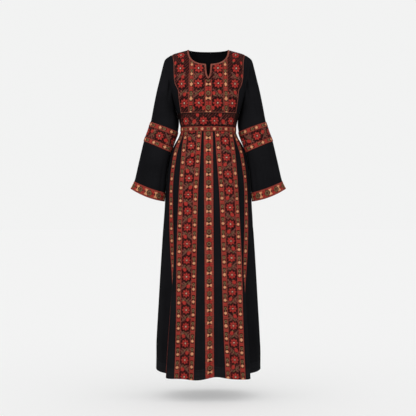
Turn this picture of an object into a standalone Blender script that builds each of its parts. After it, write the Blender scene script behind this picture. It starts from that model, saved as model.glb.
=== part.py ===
"""Long embroidered dress, worn shape, empty inside.

Metres, +Z up, the front faces -Y.  The origin lies between the two points where
the shoulder seams meet the neck, which is where the dress is held up.
"""
import math
from collections import namedtuple

import bmesh
import bpy
import numpy as np

# Cloth and seams
WALL = 0.0012                # ground cloth with its seam allowances
RIBBON = 0.0010              # embroidered cloth sewn on top
SEAM_GAP = 0.0003            # between pieces that meet or lie on each other
ON_STRIP = SEAM_GAP + RIBBON + SEAM_GAP
CHEST_LIFT = 0.0006          # the chest panel bridges the rounding of the shoulder
ON_CHEST = CHEST_LIFT + RIBBON + SEAM_GAP
SLEEVE_GAP = 0.00035
ARMPIT_EASE = 0.0004         # the sleeve stands off the side by this much at the armpit
WAIST_TURN = 0.0016          # strips start this far below the waist, where the cloth bends

# Heights below the neck points
WAIST_Z = -0.362
BELT_TOP_Z = -0.3409
CHEST_BOTTOM_Z = -0.2817
LEVEL_Z = {"centre": -0.148, "side": -0.165}   # where the rows turn level
HEM_Z = -1.420
ARMPIT_Z = -0.215

# Neck
NECK_HALF = 0.0862
NECK_DEPTH = 0.0713
NECK_POWER = 2.6
BACK_NECK_Z = -0.002
BACK_NECK_RISE = 0.0246
SLIT_END_Z = -0.1318
BINDING_WIDTH = 0.006

# Shoulders round over into the chest and the back
SHOULDER_ROUND = {"front": 0.090, "back": 0.060}
BODY_POWER = 2.3

# Skirt strips, measured along the cloth
CENTRE_HALF = 0.0195
TRIM = 0.021
FLORAL = 0.044
WIDE_STRIP = TRIM + FLORAL + TRIM
GORE_DEPTHS = (0.0, 0.05, 0.10, 0.25, 0.50, 0.70, 1.0)       # share of the skirt's length
INNER_GORES = (0.009, 0.012, 0.015, 0.026, 0.034, 0.039, 0.051)
OUTER_GORES = (0.006, 0.019, 0.030, 0.044, 0.046, 0.044, 0.042)
CENTRE_DRIFT = 0.007         # the centre strip swings to +X at the hem

BodyLevel = namedtuple("BodyLevel", "z half_width front back")
BODY = [
    BodyLevel(0.030, 0.215, 0.074, 0.066),
    BodyLevel(-0.060, 0.201, 0.086, 0.076),
    BodyLevel(-0.090, 0.196, 0.093, 0.083),
    BodyLevel(-0.130, 0.182, 0.104, 0.091),
    BodyLevel(-0.180, 0.168, 0.117, 0.098),
    BodyLevel(ARMPIT_Z, 0.158, 0.122, 0.098),
    BodyLevel(CHEST_BOTTOM_Z, 0.136, 0.112, 0.092),
    BodyLevel(BELT_TOP_Z, 0.1218, 0.100, 0.087),
    BodyLevel(WAIST_Z, 0.1216, 0.098, 0.086),
]

SkirtLevel = namedtuple("SkirtLevel", "z half_width front back fold")
SKIRT = [
    SkirtLevel(WAIST_Z, 0.1216, 0.098, 0.086, 0.00),
    SkirtLevel(-0.386, 0.1308, 0.104, 0.094, 0.03),
    SkirtLevel(-0.415, 0.1480, 0.112, 0.104, 0.06),
    SkirtLevel(-0.460, 0.1680, 0.120, 0.114, 0.10),
    SkirtLevel(-0.525, 0.1795, 0.127, 0.123, 0.15),
    SkirtLevel(-0.600, 0.1850, 0.134, 0.131, 0.20),
    SkirtLevel(-0.676, 0.1880, 0.140, 0.138, 0.26),
    SkirtLevel(-0.835, 0.199, 0.150, 0.151, 0.42),
    SkirtLevel(-1.099, 0.2146, 0.168, 0.168, 0.72),
    SkirtLevel(-1.363, 0.228, 0.184, 0.182, 0.96),
    SkirtLevel(HEM_Z, 0.2295, 0.187, 0.186, 1.00),
]

# Folds of the skirt: where round the body, how wide, how far out at the hem
Fold = namedtuple("Fold", "angle width out")
FOLDS = [
    Fold(44, 8, 0.043), Fold(57, 9, -0.026), Fold(13, 9, -0.014), Fold(-16, 9, 0.006),
    Fold(-44, 8, 0.043), Fold(-57, 9, -0.026), Fold(112, 11, -0.020), Fold(134, 10, 0.014),
    Fold(158, 11, -0.017), Fold(180, 10, 0.012), Fold(-155, 12, -0.019), Fold(-131, 11, 0.016),
    Fold(-109, 10, -0.018),
]

# Shoulder seam from the neck point to the top of the sleeve
ShoulderPoint = namedtuple("ShoulderPoint", "x z")
SHOULDER = [
    ShoulderPoint(NECK_HALF, 0.0), ShoulderPoint(0.1465, -0.0163),
    ShoulderPoint(0.1685, -0.0251), ShoulderPoint(0.1830, -0.0348),
]

ArmholePoint = namedtuple("ArmholePoint", "z x")
ARMHOLE = [
    ArmholePoint(-0.0348, 0.1830), ArmholePoint(-0.0560, 0.1790), ArmholePoint(-0.0850, 0.1730),
    ArmholePoint(-0.1200, 0.1650), ArmholePoint(-0.1550, 0.1585), ArmholePoint(-0.1820, 0.1550),
    ArmholePoint(-0.2010, 0.1545), ArmholePoint(-0.2110, 0.1560), ArmholePoint(ARMPIT_Z, 0.1580),
]
ARMHOLE_ROWS = 9             # rows of the bodice from the shoulder seam to the armpit

# Outer edge of the chest panel, from the shoulder seam to the chest seam
ChestEdge = namedtuple("ChestEdge", "z x")
CHEST_EDGE = [
    ChestEdge(-0.0205, 0.1570), ChestEdge(-0.060, 0.1505), ChestEdge(-0.130, 0.1480),
    ChestEdge(-0.157, 0.1430), ChestEdge(-0.183, 0.1300), ChestEdge(-0.240, 0.1240),
    ChestEdge(-0.2817, 0.1175),
]
SIDE_FRACTIONS = (0.25, 0.50, 0.72, 0.88, 0.965, 1.0)

# Sleeve sections: outer and inner edge seen from the front, how far the inner edge is pushed
# back (+) behind the side or lies forward (-) on the hip, half depth, share of armhole shape
SleeveRing = namedtuple("SleeveRing", "outer_x outer_z inner_x inner_z inner_y depth armhole")
SLEEVE = [
    SleeveRing(0.1830, -0.0348, 0.1580, -0.2150, 0.000, 0.055, 1.00),
    SleeveRing(0.1905, -0.0427, 0.1592, -0.2175, 0.000, 0.056, 0.85),
    SleeveRing(0.1955, -0.0545, 0.1584, -0.2230, 0.000, 0.058, 0.65),
    SleeveRing(0.2010, -0.0750, 0.1556, -0.2340, 0.000, 0.060, 0.40),
    SleeveRing(0.2125, -0.1219, 0.1472, -0.2560, 0.020, 0.061, 0.12),
    SleeveRing(0.2257, -0.1747, 0.1372, -0.2830, 0.030, 0.060, 0.00),
    SleeveRing(0.2400, -0.2450, 0.1306, -0.3200, 0.016, 0.057, 0.00),
    SleeveRing(0.2535, -0.3160, 0.1334, -0.3610, 0.000, 0.054, 0.00),
    SleeveRing(0.2603, -0.3351, 0.1385, -0.3814, -0.004, 0.053, 0.00),
    SleeveRing(0.2766, -0.3809, 0.1576, -0.4302, -0.018, 0.051, 0.00),
    SleeveRing(0.2834, -0.4000, 0.1662, -0.4506, -0.021, 0.050, 0.00),
    SleeveRing(0.3045, -0.4880, 0.1825, -0.5390, -0.023, 0.048, 0.00),
    SleeveRing(0.3256, -0.5768, 0.1885, -0.6274, -0.020, 0.047, 0.00),
    SleeveRing(0.3410, -0.6094, 0.1925, -0.6653, -0.010, 0.048, 0.00),
]
BAND_TOP_RING = 7
BAND_BOTTOM_RING = 10
CUFF_TOP_RING = 12

BLACK_CLOTH = "black_cloth"
EMBROIDERY = "embroidery"
TRIM_CLOTH = "trim_cloth"
BINDING_CLOTH = "binding_cloth"
COLOURS = {
    BLACK_CLOTH: (0.008, 0.009, 0.011),
    EMBROIDERY: (0.135, 0.022, 0.017),
    TRIM_CLOTH: (0.200, 0.062, 0.035),
    BINDING_CLOTH: (0.140, 0.026, 0.018),
}


def clear_scene():
    for item in list(bpy.data.objects):
        bpy.data.objects.remove(item, do_unlink=True)


def cloth_material(name, kind):
    material = bpy.data.materials.new(name + "_" + kind)
    material.use_nodes = True
    shader = material.node_tree.nodes["Principled BSDF"]
    shader.inputs["Base Color"].default_value = (*COLOURS[kind], 1.0)
    shader.inputs["Roughness"].default_value = 0.85
    shader.inputs["Metallic"].default_value = 0.0
    return material


def read(table, column, z):
    """Value of one column of a table at height z; its rows run downwards."""
    rows = sorted(table, key=lambda row: row.z)
    return float(np.interp(z, [row.z for row in rows], [getattr(row, column) for row in rows]))


def shoulder_height(x, side):
    """Height of the shoulder line above a point, the neck opening included."""
    x = abs(x)
    if x < NECK_HALF:
        rise = BACK_NECK_RISE if side == "back" else 0.0
        return rise * (1 - (x / NECK_HALF) ** 2.5)
    return float(np.interp(x, [p.x for p in SHOULDER], [p.z for p in SHOULDER]))


def body_point(x, z, side):
    """Point on the bodice over the front-view place (x, z)."""
    half = read(BODY, "half_width", z)
    drop = max(shoulder_height(x, side) - z, 0.0) / SHOULDER_ROUND[side]
    rounding = math.sqrt(1 - (1 - min(drop, 1.0)) ** 2)
    across = max(1 - (abs(x) / half) ** BODY_POWER, 0.0) ** (1 / BODY_POWER)
    depth = read(BODY, side, z) * across * rounding
    return (x, -depth if side == "front" else depth, z)


def front_neck_height(x):
    return -NECK_DEPTH * max(1 - (abs(x) / NECK_HALF) ** NECK_POWER, 0.0) ** (1 / NECK_POWER)


def back_neck_height(x):
    return BACK_NECK_Z * (1 - (abs(x) / NECK_HALF) ** 2)


def side_edge(z):
    """Front-view edge of the bodice: the armhole, then the side seam."""
    if z > ARMPIT_Z:
        return float(np.interp(-z, [-p.z for p in ARMHOLE], [p.x for p in ARMHOLE]))
    return read(BODY, "half_width", z)


Column = namedtuple("Column", "top_x top_z bottom_x fraction")


def panel_columns(neck_places, shoulder_places, side):
    """Columns of the +X half: through the neck, the shoulder seam, then towards the side."""
    columns = [Column(x, z, bottom, None) for x, z, bottom in neck_places]
    columns += [Column(x, shoulder_height(x, side), bottom, None) for x, bottom in shoulder_places]
    edge_top, edge_bottom = CHEST_EDGE[0].x, CHEST_EDGE[-1].x
    for fraction in (0.0,) + SIDE_FRACTIONS:
        x = edge_top + fraction * (SHOULDER[-1].x - edge_top)
        bottom = edge_bottom + fraction * (side_edge(CHEST_BOTTOM_Z) - edge_bottom)
        columns.append(Column(x, shoulder_height(x, side), bottom, fraction))
    return columns


def front_columns():
    slit = [(0.0, SLIT_END_Z, 0.0), (0.0068, -0.116, 0.0050), (0.0093, -0.095, 0.0095),
            (0.0108, front_neck_height(0.0108), 0.0125)]
    neck = [(x, front_neck_height(x), bottom)
            for x, bottom in ((0.0155, 0.0155), (0.032, 0.033), (0.050, 0.051), (0.0655, 0.0690), (0.0770, 0.0840))]
    shoulder = ((NECK_HALF, 0.0945), (0.110, 0.1020), (0.135, 0.1100))
    return panel_columns(slit + neck, shoulder, "front")


def back_columns():
    neck = [(x, back_neck_height(x), x) for x in (0.0, 0.025, 0.050, 0.072)]
    shoulder = ((NECK_HALF, 0.0860), (0.110, 0.0975), (0.135, 0.1085))
    return panel_columns(neck, shoulder, "back")


# Share of the way from the top edge to the level line, and from there to the chest seam
TOP_ROWS = (0.0, 0.10, 0.27, 0.50, 0.77, 1.0)
LOW_ROWS = (0.22, 0.36, 0.4278, 0.70, 1.0)


def column_points(column, side):
    level = LEVEL_Z["centre"] + (column.fraction or 0.0) * (LEVEL_Z["side"] - LEVEL_Z["centre"])
    heights = [column.top_z + share * (level - column.top_z) for share in TOP_ROWS]
    heights += [level + share * (CHEST_BOTTOM_Z - level) for share in LOW_ROWS]
    points = [body_point(column.top_x, column.top_z, side)]
    for z in heights[1:]:
        share = (column.top_z - z) / (column.top_z - CHEST_BOTTOM_Z)
        x = column.top_x + share * (column.bottom_x - column.top_x)
        if column.fraction is not None:
            edge = read(CHEST_EDGE, "x", z)
            x = edge + column.fraction * (side_edge(z) - edge)
        points.append(body_point(x, z, side))
    return points


def front_grid():
    """Front bodice points, rows downwards, columns from -X to +X."""
    return mirrored([column_points(column, "front") for column in front_columns()])


def waist_points(column, side, levels):
    share = column.bottom_x / side_edge(CHEST_BOTTOM_Z)
    return [body_point(share * side_edge(z), z, side) for z in levels]


def back_grid():
    """Back bodice points, down to the waist."""
    levels = (BELT_TOP_Z, WAIST_Z)
    return mirrored([column_points(column, "back") + waist_points(column, "back", levels)
                     for column in back_columns()])


def midriff_grid():
    """Waist band points from the chest seam to the waist seam."""
    levels = (CHEST_BOTTOM_Z, (CHEST_BOTTOM_Z + BELT_TOP_Z) / 2, BELT_TOP_Z, WAIST_Z)
    columns = [column for column in front_columns() if column.bottom_x in (0.0, 0.0155)
               or column.bottom_x > 0.02]
    return mirrored([waist_points(column, "front", levels) for column in columns])


def mirrored(columns):
    """Grid of both halves from the columns of the +X half."""
    half = np.array(columns, dtype=float)
    other = half[:0:-1] * (-1, 1, 1)
    return np.concatenate([other, half]).transpose(1, 0, 2)


def skirt_radius(angle, z):
    """Distance of the skirt from the middle line; angle 0 is the front, 90 is +X."""
    turn = math.radians(angle)
    side = "front" if abs(angle) <= 90 else "back"
    half = read(SKIRT, "half_width", z)
    power = BODY_POWER
    across = (abs(math.sin(turn)) / half) ** power
    along = (abs(math.cos(turn)) / read(SKIRT, side, z)) ** power
    radius = (across + along) ** (-1 / power)
    swell = 0.0
    for fold in FOLDS:
        away = (angle - fold.angle + 180) % 360 - 180
        swell += fold.out * math.exp(-(away / fold.width) ** 2)
    return radius + swell * read(SKIRT, "fold", z)


def hem_lift(angle):
    """The hem waves a little in front and behind, and rises towards the sides."""
    turn = math.radians(angle)
    wave = 0.006 * math.cos(3 * turn) * math.cos(turn) ** 2
    return wave - 0.004 + 0.0235 * math.sin(turn) ** 4


def skirt_point(angle, z):
    radius = skirt_radius(angle, z)
    depth = (z - WAIST_Z) / (HEM_Z - WAIST_Z)
    turn = math.radians(angle)
    return (radius * math.sin(turn), -radius * math.cos(turn), z + hem_lift(angle) * depth ** 3)


def skirt_lengths(z, first, last):
    """Angles and the cloth length walked from the first of them, along one level."""
    angles = np.linspace(first, last, 241)
    points = np.array([skirt_point(a, z) for a in angles])
    steps = np.linalg.norm(np.diff(points, axis=0), axis=1)
    return angles, np.concatenate([[0.0], np.cumsum(steps)])


def strip_edges(depth):
    """Distances along the cloth from the centre line: strips, ribbons and gores."""
    inner = float(np.interp(depth, GORE_DEPTHS, INNER_GORES))
    outer = float(np.interp(depth, GORE_DEPTHS, OUTER_GORES))
    start = CENTRE_HALF + inner
    end = start + WIDE_STRIP
    return [0.0, CENTRE_HALF, CENTRE_HALF + inner / 2, start, start + TRIM,
            start + TRIM + FLORAL / 2, start + TRIM + FLORAL, end,
            end + outer / 2, end + outer, end + outer + TRIM]


CENTRE_COLUMN = 1            # half of the centre strip ends at this column
WIDE_COLUMNS = (3, 7)
SIDE_COLUMNS = (9, 10)
SIDE_SHARES = (0.09, 0.19, 0.30, 0.42, 0.55, 0.70, 0.85, 1.0)
SKIRT_LEVELS = [WAIST_Z, -0.386, -0.415, -0.460, -0.525, -0.600, -0.685, -0.775,
                -0.870, -0.965, -1.060, -1.155, -1.245, -1.335, HEM_Z]
BACK_SHARES = np.linspace(0.0, 1.0, 23)


def front_skirt_grid():
    rows = []
    for z in SKIRT_LEVELS:
        depth = (z - WAIST_Z) / (HEM_Z - WAIST_Z)
        centre_angle = math.degrees(math.atan2(CENTRE_DRIFT * depth, read(SKIRT, "front", z)))
        half_rows = []
        for side in (-1, 1):
            angles, lengths = skirt_lengths(z, centre_angle, 90 * side)
            edges = strip_edges(depth)
            rest = lengths[-1] - edges[-1]
            edges = edges + [edges[-1] + share * rest for share in SIDE_SHARES]
            half_rows.append([skirt_point(np.interp(e, lengths, angles), z) for e in edges])
        rows.append(half_rows[0][:0:-1] + half_rows[1])
    return np.array(rows)


def back_skirt_grid():
    rows = []
    for z in SKIRT_LEVELS:
        angles, lengths = skirt_lengths(z, 90, 270)
        rows.append([skirt_point(np.interp(share * lengths[-1], lengths, angles), z)
                     for share in BACK_SHARES])
    return np.array(rows)


def sleeve_rings(side):
    """Closed rings from the armhole to the cuff; side is -1 or +1."""
    front, back = front_grid()[:, -1], back_grid()[:, -1]
    loop = np.concatenate([front[:ARMHOLE_ROWS], back[ARMHOLE_ROWS - 2:0:-1]])
    first = SLEEVE[0]
    middle_z = (first.outer_z + first.inner_z) / 2
    half_z = (first.outer_z - first.inner_z) / 2
    turn = np.arccos(np.clip((loop[:, 2] - middle_z) / half_z, -1, 1))
    turn[ARMHOLE_ROWS:] *= -1
    rings = []
    for ring in SLEEVE:
        rings.append(sleeve_ellipse(ring, turn) + ring.armhole * (loop - sleeve_ellipse(first, turn)))
    return np.array(rings) * (side, 1, 1)


def sleeve_ellipse(ring, turn):
    outer = np.array((ring.outer_x, 0.0, ring.outer_z))
    inner = np.array((ring.inner_x, ring.inner_y, ring.inner_z))
    centre = (outer + inner) / 2
    reach = (outer - inner) / 2
    depth = np.array((0.0, -ring.depth, 0.0))
    return centre + np.cos(turn)[:, None] * reach + np.sin(turn)[:, None] * depth


def grid_triangles(grid, closed):
    """Index triples over a grid; the two halves of the dress are split as mirror images."""
    rows, columns = grid.shape[:2]
    triangles = []
    for r in range(rows - 1):
        for c in range(columns if closed else columns - 1):
            d = (c + 1) % columns
            if grid[r, c, 0] + grid[r, d, 0] > 0:
                triangles.append(((r, c), (r, d), (r + 1, c)))
                triangles.append(((r, d), (r + 1, d), (r + 1, c)))
            else:
                triangles.append(((r, c), (r, d), (r + 1, d)))
                triangles.append(((r, c), (r + 1, d), (r + 1, c)))
    return triangles


def point_key(point):
    return tuple(int(round(value * 20000)) for value in point)


def gather_normals(grids):
    """Sums of the outward face normals at every grid point, shared where pieces meet."""
    sums = {}
    for grid, closed, turn in grids:
        for triple in grid_triangles(grid, closed):
            a, b, c = (grid[index] for index in triple)
            normal = turn * np.cross(b - a, c - a)
            for point in (a, b, c):
                key = point_key(point)
                sums[key] = sums.get(key, np.zeros(3)) + normal
    return sums


def normals_of(grid, sums):
    normals = np.array([[sums[point_key(point)] for point in row] for row in grid])
    return normals / np.linalg.norm(normals, axis=2)[:, :, None]


def share_armhole_normals(body_sums, sleeve_sums, rings):
    """One normal for both pieces where the armhole seam bends outwards."""
    for seam, beside in zip(rings[0], rings[1]):
        key = point_key(seam)
        body = body_sums[key] / np.linalg.norm(body_sums[key])
        sleeve = sleeve_sums[key] / np.linalg.norm(sleeve_sums[key])
        if np.dot(beside - seam, body) < 0:
            body_sums[key] = sleeve_sums[key] = body + sleeve


def pulled_back(grid, edges, amount=SEAM_GAP / 2):
    """The grid with its seam edges drawn back, by half a seam gap unless told."""
    grid = grid.copy()
    last_row, last_column = grid.shape[0] - 1, grid.shape[1] - 1
    places = {"top": ((0, slice(None)), (1, slice(None))),
              "bottom": ((last_row, slice(None)), (last_row - 1, slice(None))),
              "left": ((slice(None), 0), (slice(None), 1)),
              "right": ((slice(None), last_column), (slice(None), last_column - 1))}
    for edge in edges:
        here, beside = places[edge]
        step = grid[beside] - grid[here]
        grid[here] += amount * step / np.linalg.norm(step, axis=-1)[..., None]
    return grid


def cloth_wall(name, grid, normals, low, high, kind, closed=False):
    """Closed wall lofted through a grid, from low to high above its points."""
    rows, columns = grid.shape[:2]
    skins = (grid + high * normals, grid + low * normals)
    mesh_maker = bmesh.new()
    verts = [[[mesh_maker.verts.new(point) for point in row] for row in skin] for skin in skins]
    for skin in (0, 1):
        for triple in grid_triangles(grid, closed):
            mesh_maker.faces.new([verts[skin][r][c] for r, c in triple])
    rims = [[(r, c) for c in range(columns)] + ([(r, 0)] if closed else []) for r in (0, rows - 1)]
    if not closed:
        rims += [[(r, c) for r in range(rows)] for c in (0, columns - 1)]
    for rim in rims:
        for (r, c), (s, d) in zip(rim, rim[1:]):
            mesh_maker.faces.new((verts[0][r][c], verts[0][s][d], verts[1][s][d]))
            mesh_maker.faces.new((verts[0][r][c], verts[1][s][d], verts[1][r][c]))
    bmesh.ops.recalc_face_normals(mesh_maker, faces=mesh_maker.faces)
    mesh = bpy.data.meshes.new(name)
    mesh_maker.to_mesh(mesh)
    mesh_maker.free()
    mesh.shade_smooth()
    mesh.set_sharp_from_angle(angle=math.radians(50))
    wall = bpy.data.objects.new(name, mesh)
    mesh.materials.append(cloth_material(name, kind))
    bpy.data.collections["dress"].objects.link(wall)
    return wall


def front_neck_path():
    """Front-view places along the slit and the front neck, from the centre to the shoulder."""
    slit = [(0.0, SLIT_END_Z), (0.0068, -0.116), (0.0093, -0.095), (0.0104, -0.080)]
    curve = (0.0135, 0.024, 0.038, 0.052, 0.064, 0.073, 0.079, 0.0830, 0.0855)
    return slit + [(x, front_neck_height(x)) for x in curve]


def add_front_binding():
    """Narrow bound edge of the slit and the front neck, on the chest panel."""
    path = front_neck_path()
    ahead = path[1:] + [(NECK_HALF, 0.0)]
    behind = [(-path[1][0], path[1][1])] + path[:-1]
    edge, outer = [], []
    for (x, z), (x0, z0), (x1, z1) in zip(path, behind, ahead):
        length = math.hypot(x1 - x0, z1 - z0)
        away_x, away_z = (z1 - z0) / length, (x0 - x1) / length
        if x > 0.080:
            away_x, away_z = 0.95, -0.25
        out_x = x + BINDING_WIDTH * away_x
        out_z = min(z + BINDING_WIDTH * away_z, shoulder_height(out_x, "front") - 0.0004)
        edge.append(body_point(x, z, "front"))
        outer.append(body_point(out_x, out_z, "front"))
    rows = []
    for half in (edge, outer):
        rows.append([(-x, y, z) for x, y, z in half[:0:-1]] + half)
    grid = np.array(rows)
    normals = normals_of(grid, gather_normals([(grid, False, -1)]))
    lift = ON_CHEST + SEAM_GAP
    cloth_wall("neck_binding_front", grid, normals, lift, lift + WALL, BINDING_CLOTH)


def add_bodice_and_sleeves():
    front, back, midriff = front_grid(), back_grid(), midriff_grid()
    body_sums = gather_normals([(front, False, -1), (back, False, 1), (midriff, False, -1)])
    for side, word in ((-1, "left"), (1, "right")):
        rings = sleeve_rings(side)
        sleeve_sums = gather_normals([(rings, True, side)])
        share_armhole_normals(body_sums, sleeve_sums, rings)
        add_sleeve(word, rings, normals_of(rings, sleeve_sums))
    front_normals = normals_of(front, body_sums)
    back_normals = normals_of(back, body_sums)
    midriff_normals = normals_of(midriff, body_sums)
    side_seams = ("top", "bottom", "left", "right")
    cloth_wall("bodice_front", pulled_back(front, side_seams), front_normals, -WALL, 0.0, BLACK_CLOTH)
    cloth_wall("bodice_back", pulled_back(back, side_seams), back_normals, -WALL, 0.0, BLACK_CLOTH)
    cloth_wall("midriff_band", pulled_back(midriff, side_seams), midriff_normals, -WALL, 0.0,
               EMBROIDERY)
    middle = back.shape[1] // 2
    neck = (slice(0, 2), slice(middle - 4, middle + 5))
    cloth_wall("neck_binding_back", pulled_back(back[neck], ("left", "right"), 0.001),
               back_normals[neck], SEAM_GAP, SEAM_GAP + WALL, BLACK_CLOTH)
    edge = len(SIDE_FRACTIONS)
    panel = slice(edge, front.shape[1] - edge)
    cloth_wall("chest_panel", pulled_back(front[:, panel], ("top", "bottom")),
               front_normals[:, panel], CHEST_LIFT, CHEST_LIFT + RIBBON, EMBROIDERY)
    cloth_wall("belt_ribbon", pulled_back(midriff[2:], side_seams), midriff_normals[2:],
               SEAM_GAP, SEAM_GAP + RIBBON, TRIM_CLOTH)
    level = len(TOP_ROWS) - 1
    middle = front.shape[1] // 2
    ribbons = (("chest_centre_ribbon", middle - 4, middle + 4, level),
               ("chest_flank_ribbon_right", middle + 7, middle + 8, 2),
               ("chest_flank_ribbon_left", middle - 8, middle - 7, 2))
    for name, first, last, top in ribbons:
        part = (slice(top, None), slice(first, last + 1))
        cloth_wall(name, pulled_back(front[part], ("bottom",)), front_normals[part],
                   ON_CHEST, ON_CHEST + RIBBON, TRIM_CLOTH)


def add_skirt():
    front, back = front_skirt_grid(), back_skirt_grid()
    sums = gather_normals([(front, False, -1), (back, False, -1)])
    front_normals = normals_of(front, sums)
    back_normals = normals_of(back, sums)
    seams = ("top", "left", "right")
    cloth_wall("skirt_front", pulled_back(front, seams), front_normals, -WALL, 0.0, BLACK_CLOTH)
    cloth_wall("skirt_back", pulled_back(back, seams), back_normals, -WALL, 0.0, BLACK_CLOTH)
    middle = front.shape[1] // 2
    strips = [("centre_strip", middle - CENTRE_COLUMN, middle + CENTRE_COLUMN, TRIM_CLOTH, SEAM_GAP)]
    for side, word in ((-1, "left"), (1, "right")):
        start, end = (middle + side * c for c in WIDE_COLUMNS)
        strips.append(("wide_strip_" + word, min(start, end), max(start, end), EMBROIDERY, SEAM_GAP))
        for place, column in (("inner", WIDE_COLUMNS[0]), ("outer", WIDE_COLUMNS[1] - 1)):
            ends = sorted((middle + side * column, middle + side * (column + 1)))
            strips.append((f"strip_ribbon_{place}_{word}", *ends, TRIM_CLOTH, ON_STRIP))
        ends = sorted(middle + side * c for c in SIDE_COLUMNS)
        strips.append(("side_ribbon_" + word, *ends, TRIM_CLOTH, SEAM_GAP))
    for name, first, last, kind, lift in strips:
        part = (slice(None), slice(first, last + 1))
        cloth_wall(name, pulled_back(front[part], ("top",), WAIST_TURN), front_normals[part],
                   lift, lift + RIBBON, kind)


def add_sleeve(word, rings, normals):
    step = rings[1] - rings[0]
    around = (rings[0, :, 2] - ARMHOLE[0].z) / (ARMPIT_Z - ARMHOLE[0].z)
    outward = np.sign(rings[0, 0, 0]) * ARMPIT_EASE * around
    rings[0] += SLEEVE_GAP * step / np.linalg.norm(step, axis=1)[:, None]
    rings[0, :, 0] += outward
    cloth_wall("sleeve_" + word, rings, normals, -WALL, 0.0, BLACK_CLOTH, closed=True)
    bands = (("sleeve_band_", BAND_TOP_RING, BAND_BOTTOM_RING, EMBROIDERY, SEAM_GAP),
             ("band_top_ribbon_", BAND_TOP_RING, BAND_TOP_RING + 1, TRIM_CLOTH, ON_STRIP),
             ("band_low_ribbon_", BAND_BOTTOM_RING - 1, BAND_BOTTOM_RING, TRIM_CLOTH, ON_STRIP),
             ("cuff_ribbon_", CUFF_TOP_RING, len(rings) - 1, TRIM_CLOTH, SEAM_GAP))
    for name, first, last, kind, lift in bands:
        part = slice(first, last + 1)
        cloth_wall(name + word, rings[part], normals[part], lift, lift + RIBBON, kind, closed=True)


def build():
    clear_scene()
    collection = bpy.data.collections.new("dress")
    bpy.context.scene.collection.children.link(collection)
    add_bodice_and_sleeves()
    add_front_binding()
    add_skirt()


build()
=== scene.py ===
"""Long black dress with cross-stitched panels: every stitch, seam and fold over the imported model.

Metres, +Z up, the front faces -Y.  Angles round the skirt are degrees, 0 at the front and 90 at +X.
"""
import math
from collections import namedtuple

import bpy
import numpy as np
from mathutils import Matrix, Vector


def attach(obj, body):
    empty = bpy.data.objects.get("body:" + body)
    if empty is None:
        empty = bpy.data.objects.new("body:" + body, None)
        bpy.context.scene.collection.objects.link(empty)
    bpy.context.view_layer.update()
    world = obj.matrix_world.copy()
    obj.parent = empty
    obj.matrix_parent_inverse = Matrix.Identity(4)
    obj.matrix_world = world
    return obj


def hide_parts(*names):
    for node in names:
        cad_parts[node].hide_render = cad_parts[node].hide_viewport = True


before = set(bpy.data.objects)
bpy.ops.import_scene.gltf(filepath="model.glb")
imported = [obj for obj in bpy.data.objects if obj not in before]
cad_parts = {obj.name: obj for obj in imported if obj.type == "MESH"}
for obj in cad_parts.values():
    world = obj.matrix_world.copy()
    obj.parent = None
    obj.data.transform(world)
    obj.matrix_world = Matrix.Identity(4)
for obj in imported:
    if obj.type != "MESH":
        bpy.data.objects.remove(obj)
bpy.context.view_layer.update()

# Cloth and thread
WALL = 0.0012                # ground cloth
PANEL_LIFT = 0.0011          # top of a panel sewn on the ground cloth
RIBBON_LIFT = 0.0021         # top of a ribbon sewn on a panel
STITCH = 0.0022              # one cross-stitch
STITCH_RISE = 0.00035        # middle of a stitch above its corners
SEAM = 0.0003                # gap between pieces
MIDRIFF_LIFT = 0.0006
BELT_LIFT = 0.0013
RIB = 0.0014                 # ribs of the binding
SEWN = 0.0042                # a running stitch, and the gap to the next
SEWN_GAP = 0.0018
SEWN_RADIUS = 0.0003
FINE = 6                     # steps of the fine bodice to one of the model's

# Cut of the dress, as in the model
WAIST_Z = -0.362
BELT_TOP_Z = -0.3409
CHEST_BOTTOM_Z = -0.2817
HEM_Z = -1.420
ARMPIT_Z = -0.215
WAIST_TURN = 0.0016
LEVEL_Z = {"centre": -0.148, "side": -0.165}
NECK_HALF = 0.0862
NECK_DEPTH = 0.0713
NECK_POWER = 2.6
BACK_NECK_Z = -0.002
BACK_NECK_RISE = 0.0246
SLIT_END_Z = -0.1318
SLIT = ((SLIT_END_Z, 0.0), (-0.116, 0.0068), (-0.095, 0.0093), (-0.072, 0.0108))   # height, half width
SHOULDER_ROUND = {"front": 0.090, "back": 0.060}
BODY_POWER = 2.3
CENTRE_HALF = 0.0195
TRIM = 0.021
FLORAL = 0.044
WIDE_STRIP = TRIM + FLORAL + TRIM
GORE_DEPTHS = (0.0, 0.05, 0.10, 0.25, 0.50, 0.70, 1.0)
INNER_GORES = (0.009, 0.012, 0.015, 0.026, 0.034, 0.039, 0.051)
OUTER_GORES = (0.006, 0.019, 0.030, 0.044, 0.046, 0.044, 0.042)
CENTRE_DRIFT = 0.007
HEM_TURN = 0.042
HEM_LIFT = 0.0290            # the hem rises towards the sides
HEM_RIPPLE = 0.006
HEM_DROP = 0.004
HEM_WAVE = 0.0065            # the front hem dips left of the middle and rises right of it
HEM_WAVE_SPREAD = 35
SKIRT_ROWS = 138
SKIRT_COLUMNS = 216
CUFF = 0.035
CUFF_SAG = 0.0095            # the open cuff hangs lower in front and behind than at its ends
CUFF_SAG_RING = 10

BodyLevel = namedtuple("BodyLevel", "z half_width front back")
BODY = [
    BodyLevel(0.030, 0.215, 0.074, 0.066),
    BodyLevel(-0.060, 0.201, 0.086, 0.076),
    BodyLevel(-0.090, 0.196, 0.093, 0.083),
    BodyLevel(-0.130, 0.182, 0.104, 0.091),
    BodyLevel(-0.180, 0.168, 0.117, 0.098),
    BodyLevel(ARMPIT_Z, 0.158, 0.122, 0.098),
    BodyLevel(CHEST_BOTTOM_Z, 0.136, 0.112, 0.092),
    BodyLevel(BELT_TOP_Z, 0.1218, 0.100, 0.087),
    BodyLevel(WAIST_Z, 0.1216, 0.098, 0.086),
]

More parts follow.
